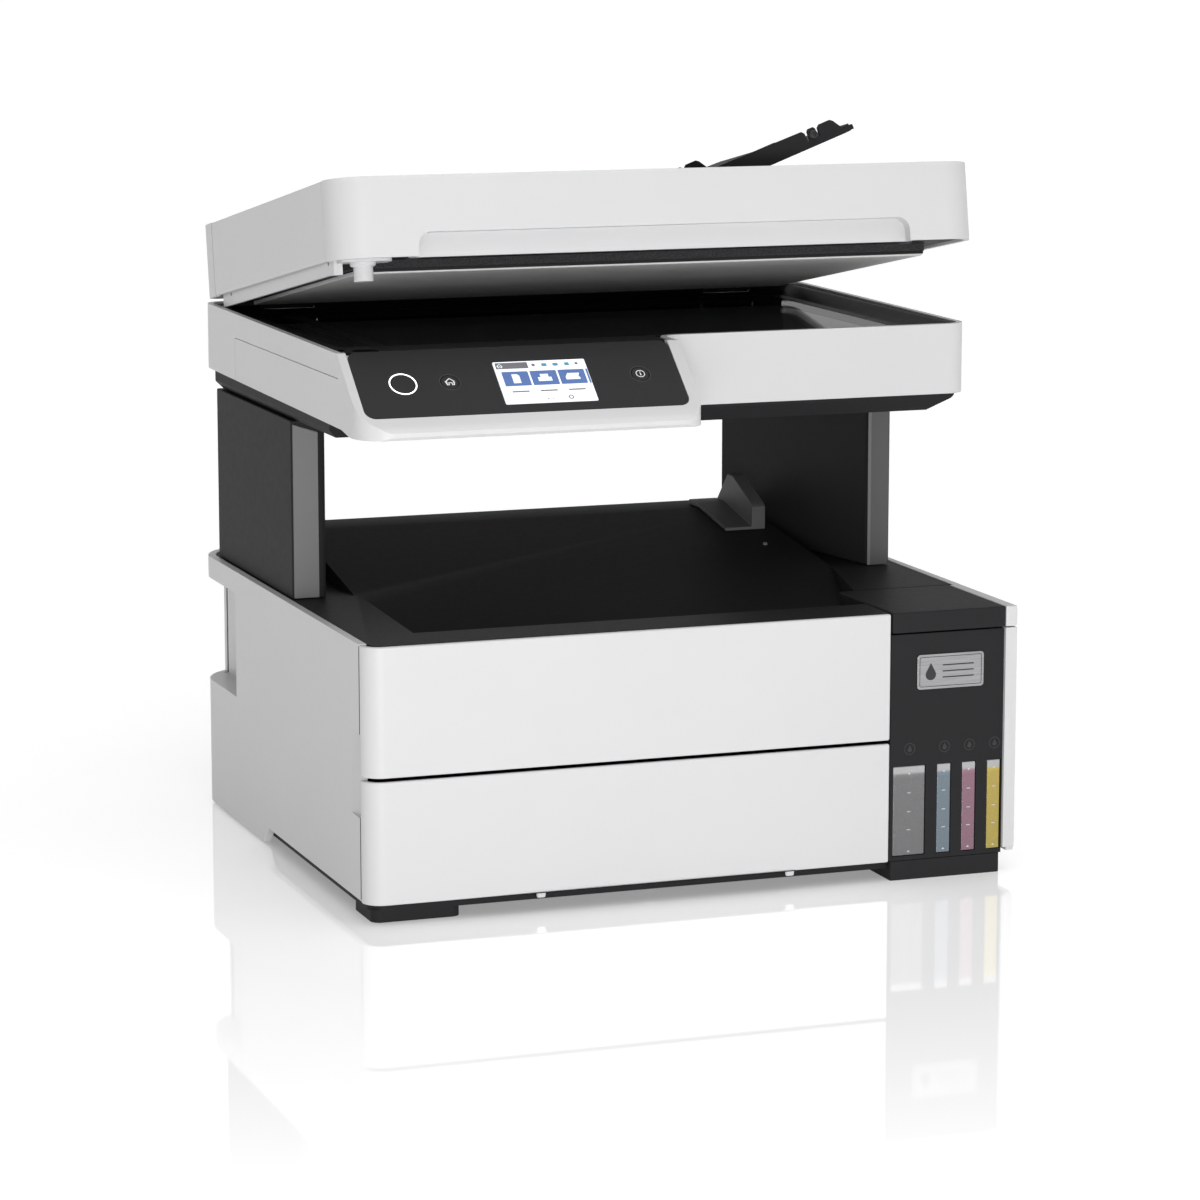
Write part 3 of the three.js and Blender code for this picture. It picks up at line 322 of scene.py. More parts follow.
def inked_tank(name, ink):
    """A translucent moulded tank: clear frosted wall above the ink line, tinted wall below it."""
    shade = Shade(name)
    share = shade.spread(shade.height(), 0, 1, 0.0, TANK_TOP * MM)
    line = INK_LEVEL / TANK_TOP
    shade.feed("Base Color", shade.ramp(
        share, (0.0, tint(ink, 0.93)), (line - INK_EDGE_BELOW, tint(ink, 1.04)), (line, tint(ink, 1.25)),
        (line + INK_EDGE_ABOVE, FROSTED_CLEAR), (1.0, FROSTED_CLEAR)))
    shade.feed("Roughness", shade.spread(shade.noise(180, detail=4), 0.24, 0.3))
    shade.bump(shade.noise(420, detail=3), strength=0.05, depth=0.08)
    shade.set(coat_weight=0.3)
    return shade.material


def circuit_board(name):
    """A green board with lighter tracks."""
    shade = Shade(name)
    tracks = shade.cells(160, "DISTANCE_TO_EDGE")
    shade.feed("Base Color", shade.ramp(
        tracks, (0.0, (0.03, 0.2, 0.08)), (0.06, (0.012, 0.11, 0.04)), (1.0, (0.01, 0.09, 0.035))))
    shade.feed("Roughness", shade.spread(shade.noise(120, detail=2), 0.3, 0.45))
    shade.bump(tracks, strength=0.3, depth=0.05)
    return shade.material


# Metres from the origin between which the floor's reflection dies away, and what is left of it.
REFLECTION_NEAR = 0.35
REFLECTION_FAR = 1.0
REFLECTION_LEFT = 0.12


def pale_floor(name):
    """A white sheet that is lit from below, with a gloss that dies away from the object."""
    shade = Shade(name)
    shade.feed("Base Color", shade.tones(
        shade.noise(1.5, detail=3), (0.905, 0.905, 0.908), (0.915, 0.915, 0.918)))
    distance = shade.node("ShaderNodeVectorMath", operation="LENGTH")
    shade.tree.links.new(shade.place, distance.inputs[0])
    shade.feed("Coat Weight", shade.spread(
        distance.outputs["Value"], 1, REFLECTION_LEFT, REFLECTION_NEAR, REFLECTION_FAR))
    shade.set(roughness=0.8, specular_ior_level=0.0, coat_roughness=0.03, coat_ior=2.2)
    shade.set(emission_color=(1, 1, 1, 1), emission_strength=0.36)
    return shade.material


FINISHES = {
    "white_casing": moulded("white_casing", (0.52, 0.52, 0.525), 0.38, relief=0.08, drift=0.008, gloss=0.3),
    "charcoal_casing": moulded(
        "charcoal_casing", (0.020, 0.020, 0.021), 0.5, relief=0.08, drift=0.03, gloss=0.045),
    "grey_plastic": moulded("grey_plastic", (0.080, 0.080, 0.083), 0.5, drift=0.03, gloss=0.2),
    "gloss_black": moulded("gloss_black", (0.009, 0.009, 0.010), 0.45, grain=500, relief=0.02, gloss=0.05),
    "panel_black": moulded("panel_black", (0.019, 0.019, 0.020), 0.34, grain=2200, relief=0.1, gloss=0.12),
    "foam": open_foam("foam", (0.014, 0.014, 0.015)),
    "document_white": moulded("document_white", (0.52, 0.52, 0.515), 0.55, grain=900, relief=0.1, drift=0.01),
    "scanner_glass": clear_glass("scanner_glass"),
    "screen": glowing("screen", (0.66, 0.69, 0.72), 0.6),
    "steel": brushed("steel", (0.58, 0.58, 0.6), 0.3, "x"),
    "rubber": rubber("rubber", (0.022, 0.022, 0.024)),
    "circuit_board": circuit_board("circuit_board"),
    "ink_grey": inked_tank("ink_grey", (0.112, 0.112, 0.115)),
    "ink_cyan": inked_tank("ink_cyan", (0.109, 0.141, 0.166)),
    "ink_magenta": inked_tank("ink_magenta", (0.186, 0.094, 0.127)),
    "ink_yellow": inked_tank("ink_yellow", (0.324, 0.247, 0.045)),
}

# ------------------------------------------------------------------ the CAD nodes: finish and soft edges

# The width of each node's softened edges, where it isn't PLAIN_SOFT_EDGE.
SOFT_EDGE = {
    "lid_shell": 1.6, "adf_cover": 1.2, "scanner_frame": 1.3, "left_side_panel": 1.0,
    "right_side_panel": 1.0, "upper_front_panel": 1.1, "front_cover": 1.1, "ink_unit_housing": 0.8,
    "ink_cover": 0.8, "ink_cover_strip": 0.7, "output_tray": 0.8, "scanner_bottom": 1.2,
    "paper_rest": 1.2, "left_pillar": 1.2, "right_pillar": 1.2, "adf_input_tray": 0.6,
    "platen_glass": 0.15, "adf_glass": 0.15, "lcd_screen": 0.15, "carriage_belt": 0.2,
}
PLAIN_SOFT_EDGE = 0.5
# These skip the merge of flat faces, which goes wrong round their openings.
PIERCED = ("ink_unit_housing", "rear_panel", "scan_bezel", "output_tray", "control_panel")


def smooth_group():
    """Drops the imported normals, so that the edges that the bevel rounds decide the shading."""
    group = bpy.data.node_groups.new("clear_normals", "GeometryNodeTree")
    group.interface.new_socket("Geometry", in_out="INPUT", socket_type="NodeSocketGeometry")
    group.interface.new_socket("Geometry", in_out="OUTPUT", socket_type="NodeSocketGeometry")
    enter = group.nodes.new("NodeGroupInput")
    leave = group.nodes.new("NodeGroupOutput")
    normal = group.nodes.new("GeometryNodeSetMeshNormal")
    normal.mode = "SHARPNESS"
    normal.inputs["Remove Custom"].default_value = True
    group.links.new(enter.outputs[0], normal.inputs["Mesh"])
    group.links.new(normal.outputs["Mesh"], leave.inputs[0])
    return group


CLEAR_NORMALS = smooth_group()
WELD_DISTANCE = 0.005
FLAT_WITHIN = math.radians(0.6)
NODE_EDGE_ANGLE = math.radians(32)
NODE_EDGE_SEGMENTS = 3
FLAT_FACE_WEIGHT = 80


def soften(obj, width, pierced):
    """Rounds a CAD node's edges with modifiers and leaves its mesh alone."""
    clear = obj.modifiers.new("clear_normals", "NODES")
    clear.node_group = CLEAR_NORMALS
    weld = obj.modifiers.new("weld", "WELD")
    weld.merge_threshold = WELD_DISTANCE * MM
    if not pierced:
        flat = obj.modifiers.new("merge_flat", "DECIMATE")
        flat.decimate_type = "DISSOLVE"
        flat.angle_limit = FLAT_WITHIN
    bevel = obj.modifiers.new("soft_edges", "BEVEL")
    bevel.limit_method = "ANGLE"
    bevel.angle_limit = NODE_EDGE_ANGLE
    bevel.width = width * MM
    bevel.segments = NODE_EDGE_SEGMENTS
    bevel.miter_outer = "MITER_ARC"
    weigh = obj.modifiers.new("flat_faces", "WEIGHTED_NORMAL")
    weigh.keep_sharp = True
    weigh.weight = FLAT_FACE_WEIGHT


def dress_nodes():
    """Gives every CAD node the finish of its material slot, and soft edges."""
    for row in frame["record"]["subparts"]:
        node = frame["nodes"][row["node"]]
        node.data.materials.clear()
        node.data.materials.append(FINISHES[row["material_slot"]])
        soften(node, SOFT_EDGE.get(row["node"], PLAIN_SOFT_EDGE), row["node"] in PIERCED)


# ------------------------------------------------------------------ making pieces


def quarter(cx, cy, r, start, steps=6):
    """A quarter of a circle, anticlockwise from the angle start."""
    turns = [math.radians(start + 90 * i / steps) for i in range(steps + 1)]
    return [(cx + r * math.cos(t), cy + r * math.sin(t)) for t in turns]


def rounded(x0, x1, y0, y1, r, steps=6):
    """A rectangle with round corners, anticlockwise."""
    left, right, low, high = x0 + r, x1 - r, y0 + r, y1 - r
    return [*quarter(right, low, r, -90, steps), *quarter(right, high, r, 0, steps),
            *quarter(left, high, r, 90, steps), *quarter(left, low, r, 180, steps)]


def circle(x, y, r, steps):
    turns = [math.tau * i / steps for i in range(steps)]
    return [(x + r * math.cos(t), y + r * math.sin(t)) for t in turns]


def ring(centre, radii, steps=40):
    """The outer and the inner edge of a ring."""
    return [circle(*centre, radius, steps) for radius in radii]


def moved(points, dx, dy, scale=1.0):
    return [(x * scale + dx, y * scale + dy) for x, y in points]


SAME_POINT = 0.001
PIECE_EDGE_ANGLE = math.radians(40)
PIECE_EDGE_SEGMENTS = 2


def tidy_mesh(mesh):
    bm = bmesh.new()
    bm.from_mesh(mesh)
    bmesh.ops.remove_doubles(bm, verts=bm.verts, dist=SAME_POINT * MM)
    bmesh.ops.recalc_face_normals(bm, faces=bm.faces)
    bm.to_mesh(mesh)
    bm.free()


def piece(name, mesh, place, finish, body, soft=0.0):
    """Puts a mesh in its place, with a finish and soft edges, and lets it ride on a body."""
    mesh.transform(place)
    tidy_mesh(mesh)
    mesh.materials.clear()
    mesh.materials.append(finish)
    obj = link(bpy.data.objects.new(name, mesh))
    if soft:
        bevel = obj.modifiers.new("soft_edges", "BEVEL")
        bevel.limit_method = "ANGLE"
        bevel.angle_limit = PIECE_EDGE_ANGLE
        bevel.width = soft * MM
        bevel.segments = PIECE_EDGE_SEGMENTS
    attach(obj, body)


def plate(name, outlines, low, high, place, finish, body, soft=0.0):
    """Filled outlines (x, y), with holes where one lies in another, from low to high above a face."""
    curve = bpy.data.curves.new(name, "CURVE")
    curve.dimensions = "2D"
    curve.fill_mode = "BOTH"
    curve.extrude = (high - low) / 2 * MM
    for points in outlines:
        spline = curve.splines.new("POLY")
        spline.points.add(len(points) - 1)
        spline.use_cyclic_u = True
        for knot, (x, y) in zip(spline.points, points):
            knot.co = (x * MM, y * MM, 0, 1)
    holder = bpy.data.objects.new(name + "_outline", curve)
    mesh = bpy.data.meshes.new_from_object(holder)
    mesh.name = name
    bpy.data.objects.remove(holder)
    lift = Matrix.Translation((0, 0, (low + high) / 2 * MM))
    piece(name, mesh, place @ lift, finish, body, soft)


def turned(name, profile, centres, place, finish, body, sides):
    """Turned pieces: one profile (radius, height) from axis to axis, at each centre (x, y) of the face."""
    bm = bmesh.new()
    for x, y in centres:
        rings = []
        for radius, height in profile:
            if radius == 0:
                rings.append([bm.verts.new((x * MM, y * MM, height * MM))])
                continue
            rings.append([
                bm.verts.new(((x + radius * math.cos(t)) * MM, (y + radius * math.sin(t)) * MM, height * MM))
                for t in (math.tau * i / sides for i in range(sides))])
        for lower, upper in zip(rings, rings[1:]):
            for i in range(sides):
                corners = [lower[i % len(lower)], lower[(i + 1) % len(lower)],
                           upper[(i + 1) % len(upper)], upper[i % len(upper)]]
                bm.faces.new(list(dict.fromkeys(corners)))
    mesh = bpy.data.meshes.new(name)
    bm.to_mesh(mesh)
    bm.free()
    piece(name, mesh, place, finish, body)


def face_frame(right, up, origin):
    """A face's own frame: x to the right, y up and z out of it. The origin is in millimetres."""
    out = Vector(right).cross(Vector(up))
    turn = Matrix((right, up, out)).transposed().to_4x4()
    return Matrix.Translation(Vector(origin) * MM) @ turn


def front_face(y):
    return face_frame((1, 0, 0), (0, 0, 1), (0, y, 0))


def rear_face(y):
    return face_frame((-1, 0, 0), (0, 0, 1), (0, y, 0))


def left_face(x):
    return face_frame((0, -1, 0), (0, 0, 1), (x, 0, 0))


def under_plane(z):
    """The underside of a level plate: x stays x, and heights count downwards."""
    return Matrix.Translation((0, 0, z * MM)) @ Matrix.Diagonal((1, 1, -1, 1))


# SLOPE is the face of the sloping control panel. LID turns a place on the shut lid to where it is at rest,
# with the lid open. TRAY is the raised feeder tray's own frame, with its origin on the tray's axis.
SLOPE_ANGLE = math.atan2(32, 39)
SLOPE = face_frame((1, 0, 0), (0, math.cos(SLOPE_ANGLE), math.sin(SLOPE_ANGLE)), (0, -166, 268))
LID_TILT = math.radians(-9.9)
LID_AXIS = Vector((0, 140, 300)) * MM
LID = Matrix.Translation(LID_AXIS) @ Matrix.Rotation(LID_TILT, 4, "X") @ Matrix.Translation(-LID_AXIS)
TRAY_TILT = math.radians(-20.3)
TRAY_AXIS = Vector((33, 0, 333)) * MM
TRAY = LID @ Matrix.Translation(TRAY_AXIS) @ Matrix.Rotation(TRAY_TILT, 4, "Y")


def box_mm(node):
    """The two corners of a node's box, in millimetres."""
    low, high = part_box(node)
    return low / MM, high / MM


def on_face(node, place):
    """Where the middle of a node lies on a face, in that face's own millimetres."""
    low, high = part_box(node)
    spot = place.inverted() @ ((low + high) / 2)
    return spot.x / MM, spot.y / MM


# ------------------------------------------------------------------ control panel

ICON_WHITE = glowing("icon_white", (0.62, 0.63, 0.64), 0.25)
LED_WHITE = glowing("led_white", (0.95, 0.96, 0.97), 1.6)
KEY_RIM = moulded("key_rim", (0.018, 0.018, 0.019), 0.3, grain=2200, relief=0.1, drift=0.05)
POWER_RING = (7.6, 6.9)
KEY_RING = (5.7, 5.35)
HELP_RING = (2.55, 2.15)
HELP_BAR = rounded(-0.28, 0.28, -1.3, 0.45, 0.2, 3)
HELP_DOT_ABOVE = 1.15
HELP_DOT_RADIUS = 0.33
RING_LOW = -0.25
KEY_RING_HIGH = -0.12
ICON_LOW, ICON_HIGH = 0.08, 0.16
HOUSE_ROOF = [(-3, 0.1), (0, 2.7), (3, 0.1), (2.65, -0.3), (0, 2.05), (-2.65, -0.3)]
HOUSE_WALLS = [
    (-2.1, 0.4), (-2.1, -2.4), (-0.65, -2.4), (-0.65, -0.9), (0.65, -0.9), (0.65, -2.4), (2.1, -2.4),
    (2.1, 0.4), (1.65, 0.8), (1.65, -1.95), (1.1, -1.95), (1.1, -0.45), (-1.1, -0.45), (-1.1, -1.95),
    (-1.65, -1.95), (-1.65, 0.8)]


def house(centre, scale=1.0):
    return [moved(HOUSE_ROOF, *centre, scale), moved(HOUSE_WALLS, *centre, scale)]


def panel_details():
    """The lit ring of the power key, the rims of the other two, and their icons."""
    power, home, info = (on_face(key, SLOPE) for key in ("power_button", "home_button", "help_button"))
    plate("power_ring", ring(power, POWER_RING), RING_LOW, 0.0, SLOPE, LED_WHITE, "scanner",
          soft=0.1)
    plate("key_rims", ring(home, KEY_RING) + ring(info, KEY_RING), RING_LOW, KEY_RING_HIGH, SLOPE, KEY_RIM,
          "scanner")
    plate("home_icon", house(home), ICON_LOW, ICON_HIGH, SLOPE, ICON_WHITE, "home_key")
    dot = circle(info[0], info[1] + HELP_DOT_ABOVE, HELP_DOT_RADIUS, 16)
    plate("info_icon", ring(info, HELP_RING) + [moved(HELP_BAR, *info), dot], ICON_LOW, ICON_HIGH, SLOPE,
          ICON_WHITE, "help_key")


# The display's lower and upper edge on the slope, and the level and thickness of its picture.
SCREEN_V = (7.3, 38)
PICTURE_LOW = -0.2
PICTURE_LAYER = 0.05
# Shares of the display's width and height at which the picture's shapes lie.
BAR_U, BAR_V = (0.02, 0.37), (0.83, 0.975)
TILES_U = ((0.06, 0.345), (0.365, 0.65), (0.67, 0.955))
NEXT_TILE_U = (0.975, 0.995)
TILES_V = (0.42, 0.76)
CAPTION_INSET_U = 0.05
CAPTION_V = (0.27, 0.30)
SIGNAL_V = (0.86, 0.93)
ICON_CENTRE_V = 0.59
ICON_SCALE = 0.95
SMALL_HOUSE = (0.065, 0.9)
SMALL_HOUSE_SCALE = 0.55
PAGE_ICON = [(-2.2, -3.4), (2.2, -3.4), (2.2, 2.2), (1.0, 3.4), (-2.2, 3.4)]
TRAY_ICON = [(-4, -2.6), (4, -2.6), (4, 0.4), (2.4, 0.4), (2.4, 2.8), (-2.4, 2.8), (-2.4, 0.4), (-4, 0.4)]
WEDGE_ICON = [
    (-4.2, -2.2), (4.2, -2.2), (4.2, -0.6), (3.4, -0.2), (4.4, 2.6), (-2.6, 2.6), (-4.2, -0.2)]


def picture(name, outlines, finish, layer=0):
    """One layer of the display's picture."""
    low = PICTURE_LOW + layer * PICTURE_LAYER
    plate(name, outlines, low, low + PICTURE_LAYER, SLOPE, finish, "scanner")


def screen_details():
    """The display's picture: a bar, three tiles with icons, and small marks, with no words."""
    x0, x1 = ((SLOPE.inverted() @ corner / MM).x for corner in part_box("lcd_screen"))
    v0, v1 = SCREEN_V
    wide, tall = x1 - x0, v1 - v0

    def spot(u, v):
        return x0 + u * wide, v0 + v * tall

    def panel(u, v, r):
        left, low = spot(u[0], v[0])
        right, high = spot(u[1], v[1])
        return rounded(left, right, low, high, r, 4)

    picture("screen_bar", [panel(BAR_U, BAR_V, 0.3)], glowing("screen_grey", (0.09, 0.09, 0.1), 0.4))
    tiles = [panel(u, TILES_V, 0.5) for u in TILES_U] + [panel(NEXT_TILE_U, TILES_V, 0.2)]
    picture("screen_tiles", tiles, glowing("screen_blue", (0.035, 0.085, 0.24), 0.65))
    icons = [moved(icon, *spot(u, ICON_CENTRE_V), ICON_SCALE)
             for icon, u in ((PAGE_ICON, 0.2), (TRAY_ICON, 0.508), (WEDGE_ICON, 0.812))]
    icons += house(spot(*SMALL_HOUSE), SMALL_HOUSE_SCALE)
    picture("screen_icons", icons, glowing("screen_white", (0.62, 0.68, 0.74), 0.55), layer=1)
    captions = [panel((u0 + CAPTION_INSET_U, u1 - CAPTION_INSET_U), CAPTION_V, 0.2) for u0, u1 in TILES_U]
    dots = [circle(*spot(0.47, 0.09), 0.45, 16), circle(*spot(0.52, 0.09), 0.3, 16)]
    dial = ring(spot(0.72, 0.11), (1.5, 0.9), 24)
    chips = [circle(*spot(0.43, 0.9), 1.0, 20), circle(*spot(0.9, 0.9), 0.9, 20)]
    picture("screen_marks", captions + dots + dial + chips, glowing("screen_dark", (0.11, 0.11, 0.13), 0.35))
    signals = [panel(u, SIGNAL_V, r)
               for u, r in (((0.52, 0.575), 0.3), ((0.64, 0.70), 0.8), ((0.77, 0.82), 0.3))]
    picture("screen_signals", signals, glowing("screen_teal", (0.04, 0.17, 0.28), 0.5))


# ------------------------------------------------------------------ ink unit

BADGE_METAL = brushed("badge_metal", (0.36, 0.36, 0.37), 0.32, "x")
BADGE = (128.2, 168, 106.3, 125.6)
BADGE_HIGH = 0.7
EMBLEM_HIGH = 0.82
BADGE_WAVES = (-3.4, 0, 3.4)
WAVE_HALF = 0.35
INK_WINDOWS = {
    "black": (114.6, 134.2), "cyan": (141, 149.6), "magenta": (156.1, 164.6), "yellow": (171.3, 179.9)}
WINDOW_Z = (13.4, 64)
SYMBOL_Z = 73.5
SYMBOL_RING = (3.3, 2.85)
SYMBOL_DROP_Z = 73
SYMBOL_DROP = 1.25
PRINT_THICKNESS = 0.16
# The level marks: shares of the window's height, and half the size of a bar and of an arrow.
MARK_SHARES = (0.29, 0.49, 0.70)
LOW_MARK_SHARE, HIGH_MARK_SHARE = 0.04, 0.92
BAR_HALF = (1.1, 0.22)
ARROW_HALF, ARROW_TALL = 0.9, 1.1
MARK_THICKNESS = 0.14
FROSTED_MARK = moulded("frosted_mark", (0.46, 0.47, 0.48), 0.3, grain=900, relief=0.1, drift=0.05)
DARK_EMBOSS = moulded("dark_emboss", (0.014, 0.014, 0.015), 0.38, grain=1800, relief=0.1, drift=0.05)


DROP_STEPS = 16
DROP_TIP = 2.1


def drop(x, y, r):
    """An ink drop: round below and pointed above."""
    turns = [math.radians(-210 + 240 * i / DROP_STEPS) for i in range(DROP_STEPS + 1)]
    return [(x, y + DROP_TIP * r)] + [(x + r * math.cos(t), y + r * math.sin(t)) for t in turns]


def inset(box, by, r):
    """A rounded rectangle that lies inside a box by the same distance all round."""
    x0, x1, y0, y1 = box
    return rounded(x0 + by, x1 - by, y0 + by, y1 - by, r)


def badge_details(face):
    """A generic badge in place of the printed one: a frame, an ink drop and three lines."""
    plate("tank_badge", [rounded(*BADGE, 1.8)], 0, BADGE_HIGH, face, BADGE_METAL, "body", soft=0.2)
    x0, x1, z0, z1 = BADGE
    middle = (z0 + z1) / 2
    waves = [rounded(x0 + 15, x1 - 6, middle + dz - WAVE_HALF, middle + dz + WAVE_HALF, 0.3, 3)
             for dz in BADGE_WAVES]
    emblem = [inset(BADGE, 1.3, 1.0), inset(BADGE, 1.6, 0.8), drop(x0 + 8, middle - 1.6, 3.1), *waves]
    plate("badge_emblem", emblem, BADGE_HIGH, EMBLEM_HIGH, face, DARK_EMBOSS, "body")


def level_marks(x):
    """The three bars and the two arrows on one ink window."""
    z0, z1 = WINDOW_Z
    tall = z1 - z0
    wide, thick = BAR_HALF
    bars = [rounded(x - wide, x + wide, z0 + tall * share - thick, z0 + tall * share + thick, 0.2, 3)
            for share in MARK_SHARES]
    top, foot = z0 + tall * HIGH_MARK_SHARE, z0 + tall * LOW_MARK_SHARE
    return [*bars, [(x - ARROW_HALF, top), (x, top - ARROW_TALL), (x + ARROW_HALF, top)],
            [(x - ARROW_HALF, foot), (x + ARROW_HALF, foot), (x, foot + ARROW_TALL)]]


def ink_unit_details():
    face = front_face(box_mm("ink_unit_housing")[0].y)
    badge_details(face)
    centres = {ink: sum(window) / 2 for ink, window in INK_WINDOWS.items()}
    symbols = []
    for x in centres.values():
        symbols += [*ring((x, SYMBOL_Z), SYMBOL_RING), drop(x, SYMBOL_DROP_Z, SYMBOL_DROP)]
    plate("tank_symbols", symbols, 0, PRINT_THICKNESS, face, DARK_EMBOSS, "body")
    for ink, x in centres.items():
        glass = front_face(box_mm(f"tank_{ink}")[0].y)
        plate(f"level_marks_{ink}", level_marks(x), 0, MARK_THICKNESS, glass, FROSTED_MARK, "body")


# ------------------------------------------------------------------ deck, pillars and ramp

# A grey made lighter than the pillars to stand for the light on them: painted light on the left pillar's
# strip, the right strip's edge and the ramp stud.
PAINTED_LIGHT_GREY = moulded("painted_light_grey", (0.115, 0.115, 0.118), 0.46, relief=0.2)
STRIP_FOOT_Z = 150.3
STRIP_HEAD_Z = 247.5
# How far the left pillar's strip lies from the pillar's left side, and the heights of its slanted head.
LEFT_STRIP = (0.9, 15.2)
LEFT_STRIP_HEAD_Z = (247.8, 243)
RIGHT_STRIP_X = 163.3
RAMP_RISE = math.atan2(42, 235)
RAMP = face_frame((1, 0, 0), (0, math.cos(RAMP_RISE), math.sin(RAMP_RISE)), (0, -139, 128))
STUD_PROFILE = [(0, -0.3), (1.5, -0.3), (1.5, 0.7), (1.1, 1.3), (0, 1.5)]
STUD_SPOT = (119, 168)


def deck_details():
    """Painted light on the pillars' front strips, the left strip in a lighter grey than the right, a painted
    highlight along the right strip's edge, and the stud on the ramp in the same painted light grey.
    """
    low = box_mm("left_pillar")[0]
    x0, x1 = (low.x + offset for offset in LEFT_STRIP)
    left_z, right_z = LEFT_STRIP_HEAD_Z
    outline = [(x0, STRIP_FOOT_Z), (x1, STRIP_FOOT_Z), (x1, right_z), (x0, left_z)]
    plate("left_pillar_face", [outline], 0, 0.9, front_face(low.y), PAINTED_LIGHT_GREY, "body",
          soft=0.35)
    low, high = box_mm("right_pillar")
    x0, x1 = RIGHT_STRIP_X, high.x - 1
    outline = [(x0, STRIP_FOOT_Z), (x1, STRIP_FOOT_Z), (x1, STRIP_HEAD_Z), (x0, STRIP_HEAD_Z)]
    pillar_grey = moulded("pillar_grey", (0.062, 0.062, 0.064), 0.46, relief=0.2)
    plate("right_pillar_face", [outline], 0, 0.7, front_face(low.y), pillar_grey, "body",
          soft=0.35)
    # A narrow strip of the lighter grey along the right strip's inner edge: a painted highlight.
    edge = rounded(x0 - 0.4, x0 + 1.4, STRIP_FOOT_Z + 0.1, STRIP_HEAD_Z, 0.6, 3)
    plate("right_pillar_edge_highlight", [edge], 0.5, 1.1, front_face(low.y), PAINTED_LIGHT_GREY, "body",
          soft=0.25)
    turned("ramp_stud", STUD_PROFILE, [STUD_SPOT], RAMP, PAINTED_LIGHT_GREY, "body", sides=20)


SEAM_SHADOW = moulded("seam_shadow", (0.10, 0.10, 0.10), 0.7, grain=900, relief=0.1, drift=0.1, gloss=0.1)
SEAM_SPANS_Z = ((13, 57), (102, 149))


def corner_details():
    """The shadow line where the side panel meets the front panels, above and below the finger scoop."""
    low = box_mm("left_side_panel")[0]
    seam = -low.y
    lines = [rounded(seam + 0.05, seam + 0.45, z0, z1, 0.15, 2) for z0, z1 in SEAM_SPANS_Z]
    plate("corner_seam", lines, -0.4, 0.06, left_face(low.x), SEAM_SHADOW, "body")


# ------------------------------------------------------------------ scanner and lid

SCREW_STEEL = brushed("screw_steel", (0.32, 0.32, 0.33), 0.35, "y")
HINGE_CENTRES_X = (-138, 138)
NOTCH_HALF = 16.6
NOTCH_Z = (294.7, 299.6)
NOTCH_FLOOR_Y = 144.35
REAR_WALL = (-178, 178, 262.6, 289.8)
REAR_WALL_Y = 143.45
SEAL_SPANS_X = ((-174, -155.5), (-120.5, 120.5), (155.5, 174))
SEAL_Z = (295.6, 303.4)
SEAL_Y = 138.8
# Heights of the lid's flat faces when it is shut: its underside, the mat's face and the foot of the peg.
LID_FLOOR_Z = 304
MAT_Z = 299
LID_FOOT_Z = 300.6
LID_PEG = (-168.5, -118)
LID_RIB_X = -183.3
LID_OUTLINE = [(-152.6, -123.6), *quarter(166, -111, 12.4, -90), *quarter(176, 123.4, 2.4, 0),
               *quarter(-178, 123.4, 2.4, 90), (-180.4, -107), (-152.6, -107)]
FOAM_OUTLINE = rounded(-168.4, 168.4, -94.4, 123.4, 6)
MAT_EDGE = rounded(-164, 166, -92.4, -91.4, 0.4, 3)
REST_PADS_Y = (-90, -20, 50)
REST_PAD_HALF = 4.5
BUMPER_PROFILE = [(0, 0.7), (4.2, 0.7), (4.2, 1.6), (3.4, 2.3), (0, 2.4)]
BUMPER_SPOTS = [(-140, -117), (146, -112)]
COLLAR_PROFILE = [(0, -0.3), (6.9, -0.3), (6.9, 1.4), (6.1, 2.2), (0, 2.2)]
RIB_HOLE_PROFILE = [(0, -0.6), (1.1, -0.6), (1.1, 0.05), (0, 0.05)]
RIB_HOLE_SPOTS = [(104, 301.5), (-98, 301.5)]
KNOB_PROFILE = [(0, 0), (2.5, 0), (2.5, 0.6), (2.0, 1.0), (1.1, 1.1), (0.9, 0.7), (0, 0.7)]
KNOB_SPOT = (72.3, 6.2)
TRAY_FRONT_Y = -104


def painted_shade_liners():
    """Dark sheets of painted shade: one on the white wall behind the glass, and one on the floor of each
    hinge notch.
    """
    dark = FINISHES["gloss_black"]
    plate("rear_wall_shade_sheet", [rounded(*REAR_WALL, 2, 3)], 0, 0.3, front_face(REAR_WALL_Y), dark, "scanner")
    floors = [rounded(x - NOTCH_HALF, x + NOTCH_HALF, *NOTCH_Z, 0.4, 3) for x in HINGE_CENTRES_X]
    plate("hinge_notch_shade_sheets", floors, 0, 0.4, front_face(NOTCH_FLOOR_Y), dark, "scanner")


def rear_seal():
    """A dark strip on the lid's rear wall, between the hinges, that keeps daylight off the glass."""
    spans = [rounded(x0, x1, *SEAL_Z, 0.8, 3) for x0, x1 in SEAL_SPANS_X]
    plate("lid_rear_seal", spans, 0, 2.2, LID @ front_face(SEAL_Y), FINISHES["charcoal_casing"], "lid",
          soft=0.3)


def lid_details():
    """What is fixed to the lid's underside: its dark lining, bumpers, the mat's edging and rest pads."""
    underside = LID @ under_plane(LID_FLOOR_Z)
    charcoal = FINISHES["charcoal_casing"]
    plate("lid_underside", [LID_OUTLINE, FOAM_OUTLINE], -0.1, 0.8, underside, charcoal, "lid",
          soft=0.2)
    turned("lid_bumpers", BUMPER_PROFILE, BUMPER_SPOTS, underside, FINISHES["rubber"], "lid",
           sides=24)
    plate("mat_edging", [MAT_EDGE], 0, 1.7, LID @ under_plane(MAT_Z), charcoal, "lid",
          soft=0.2)
    pads = [rounded(-178.6, -174.4, y - REST_PAD_HALF, y + REST_PAD_HALF, 2.0) for y in REST_PADS_Y]
    plate("lid_rest_pads", pads, 0.7, 1.9, underside, FINISHES["grey_plastic"], "lid",
          soft=0.5)


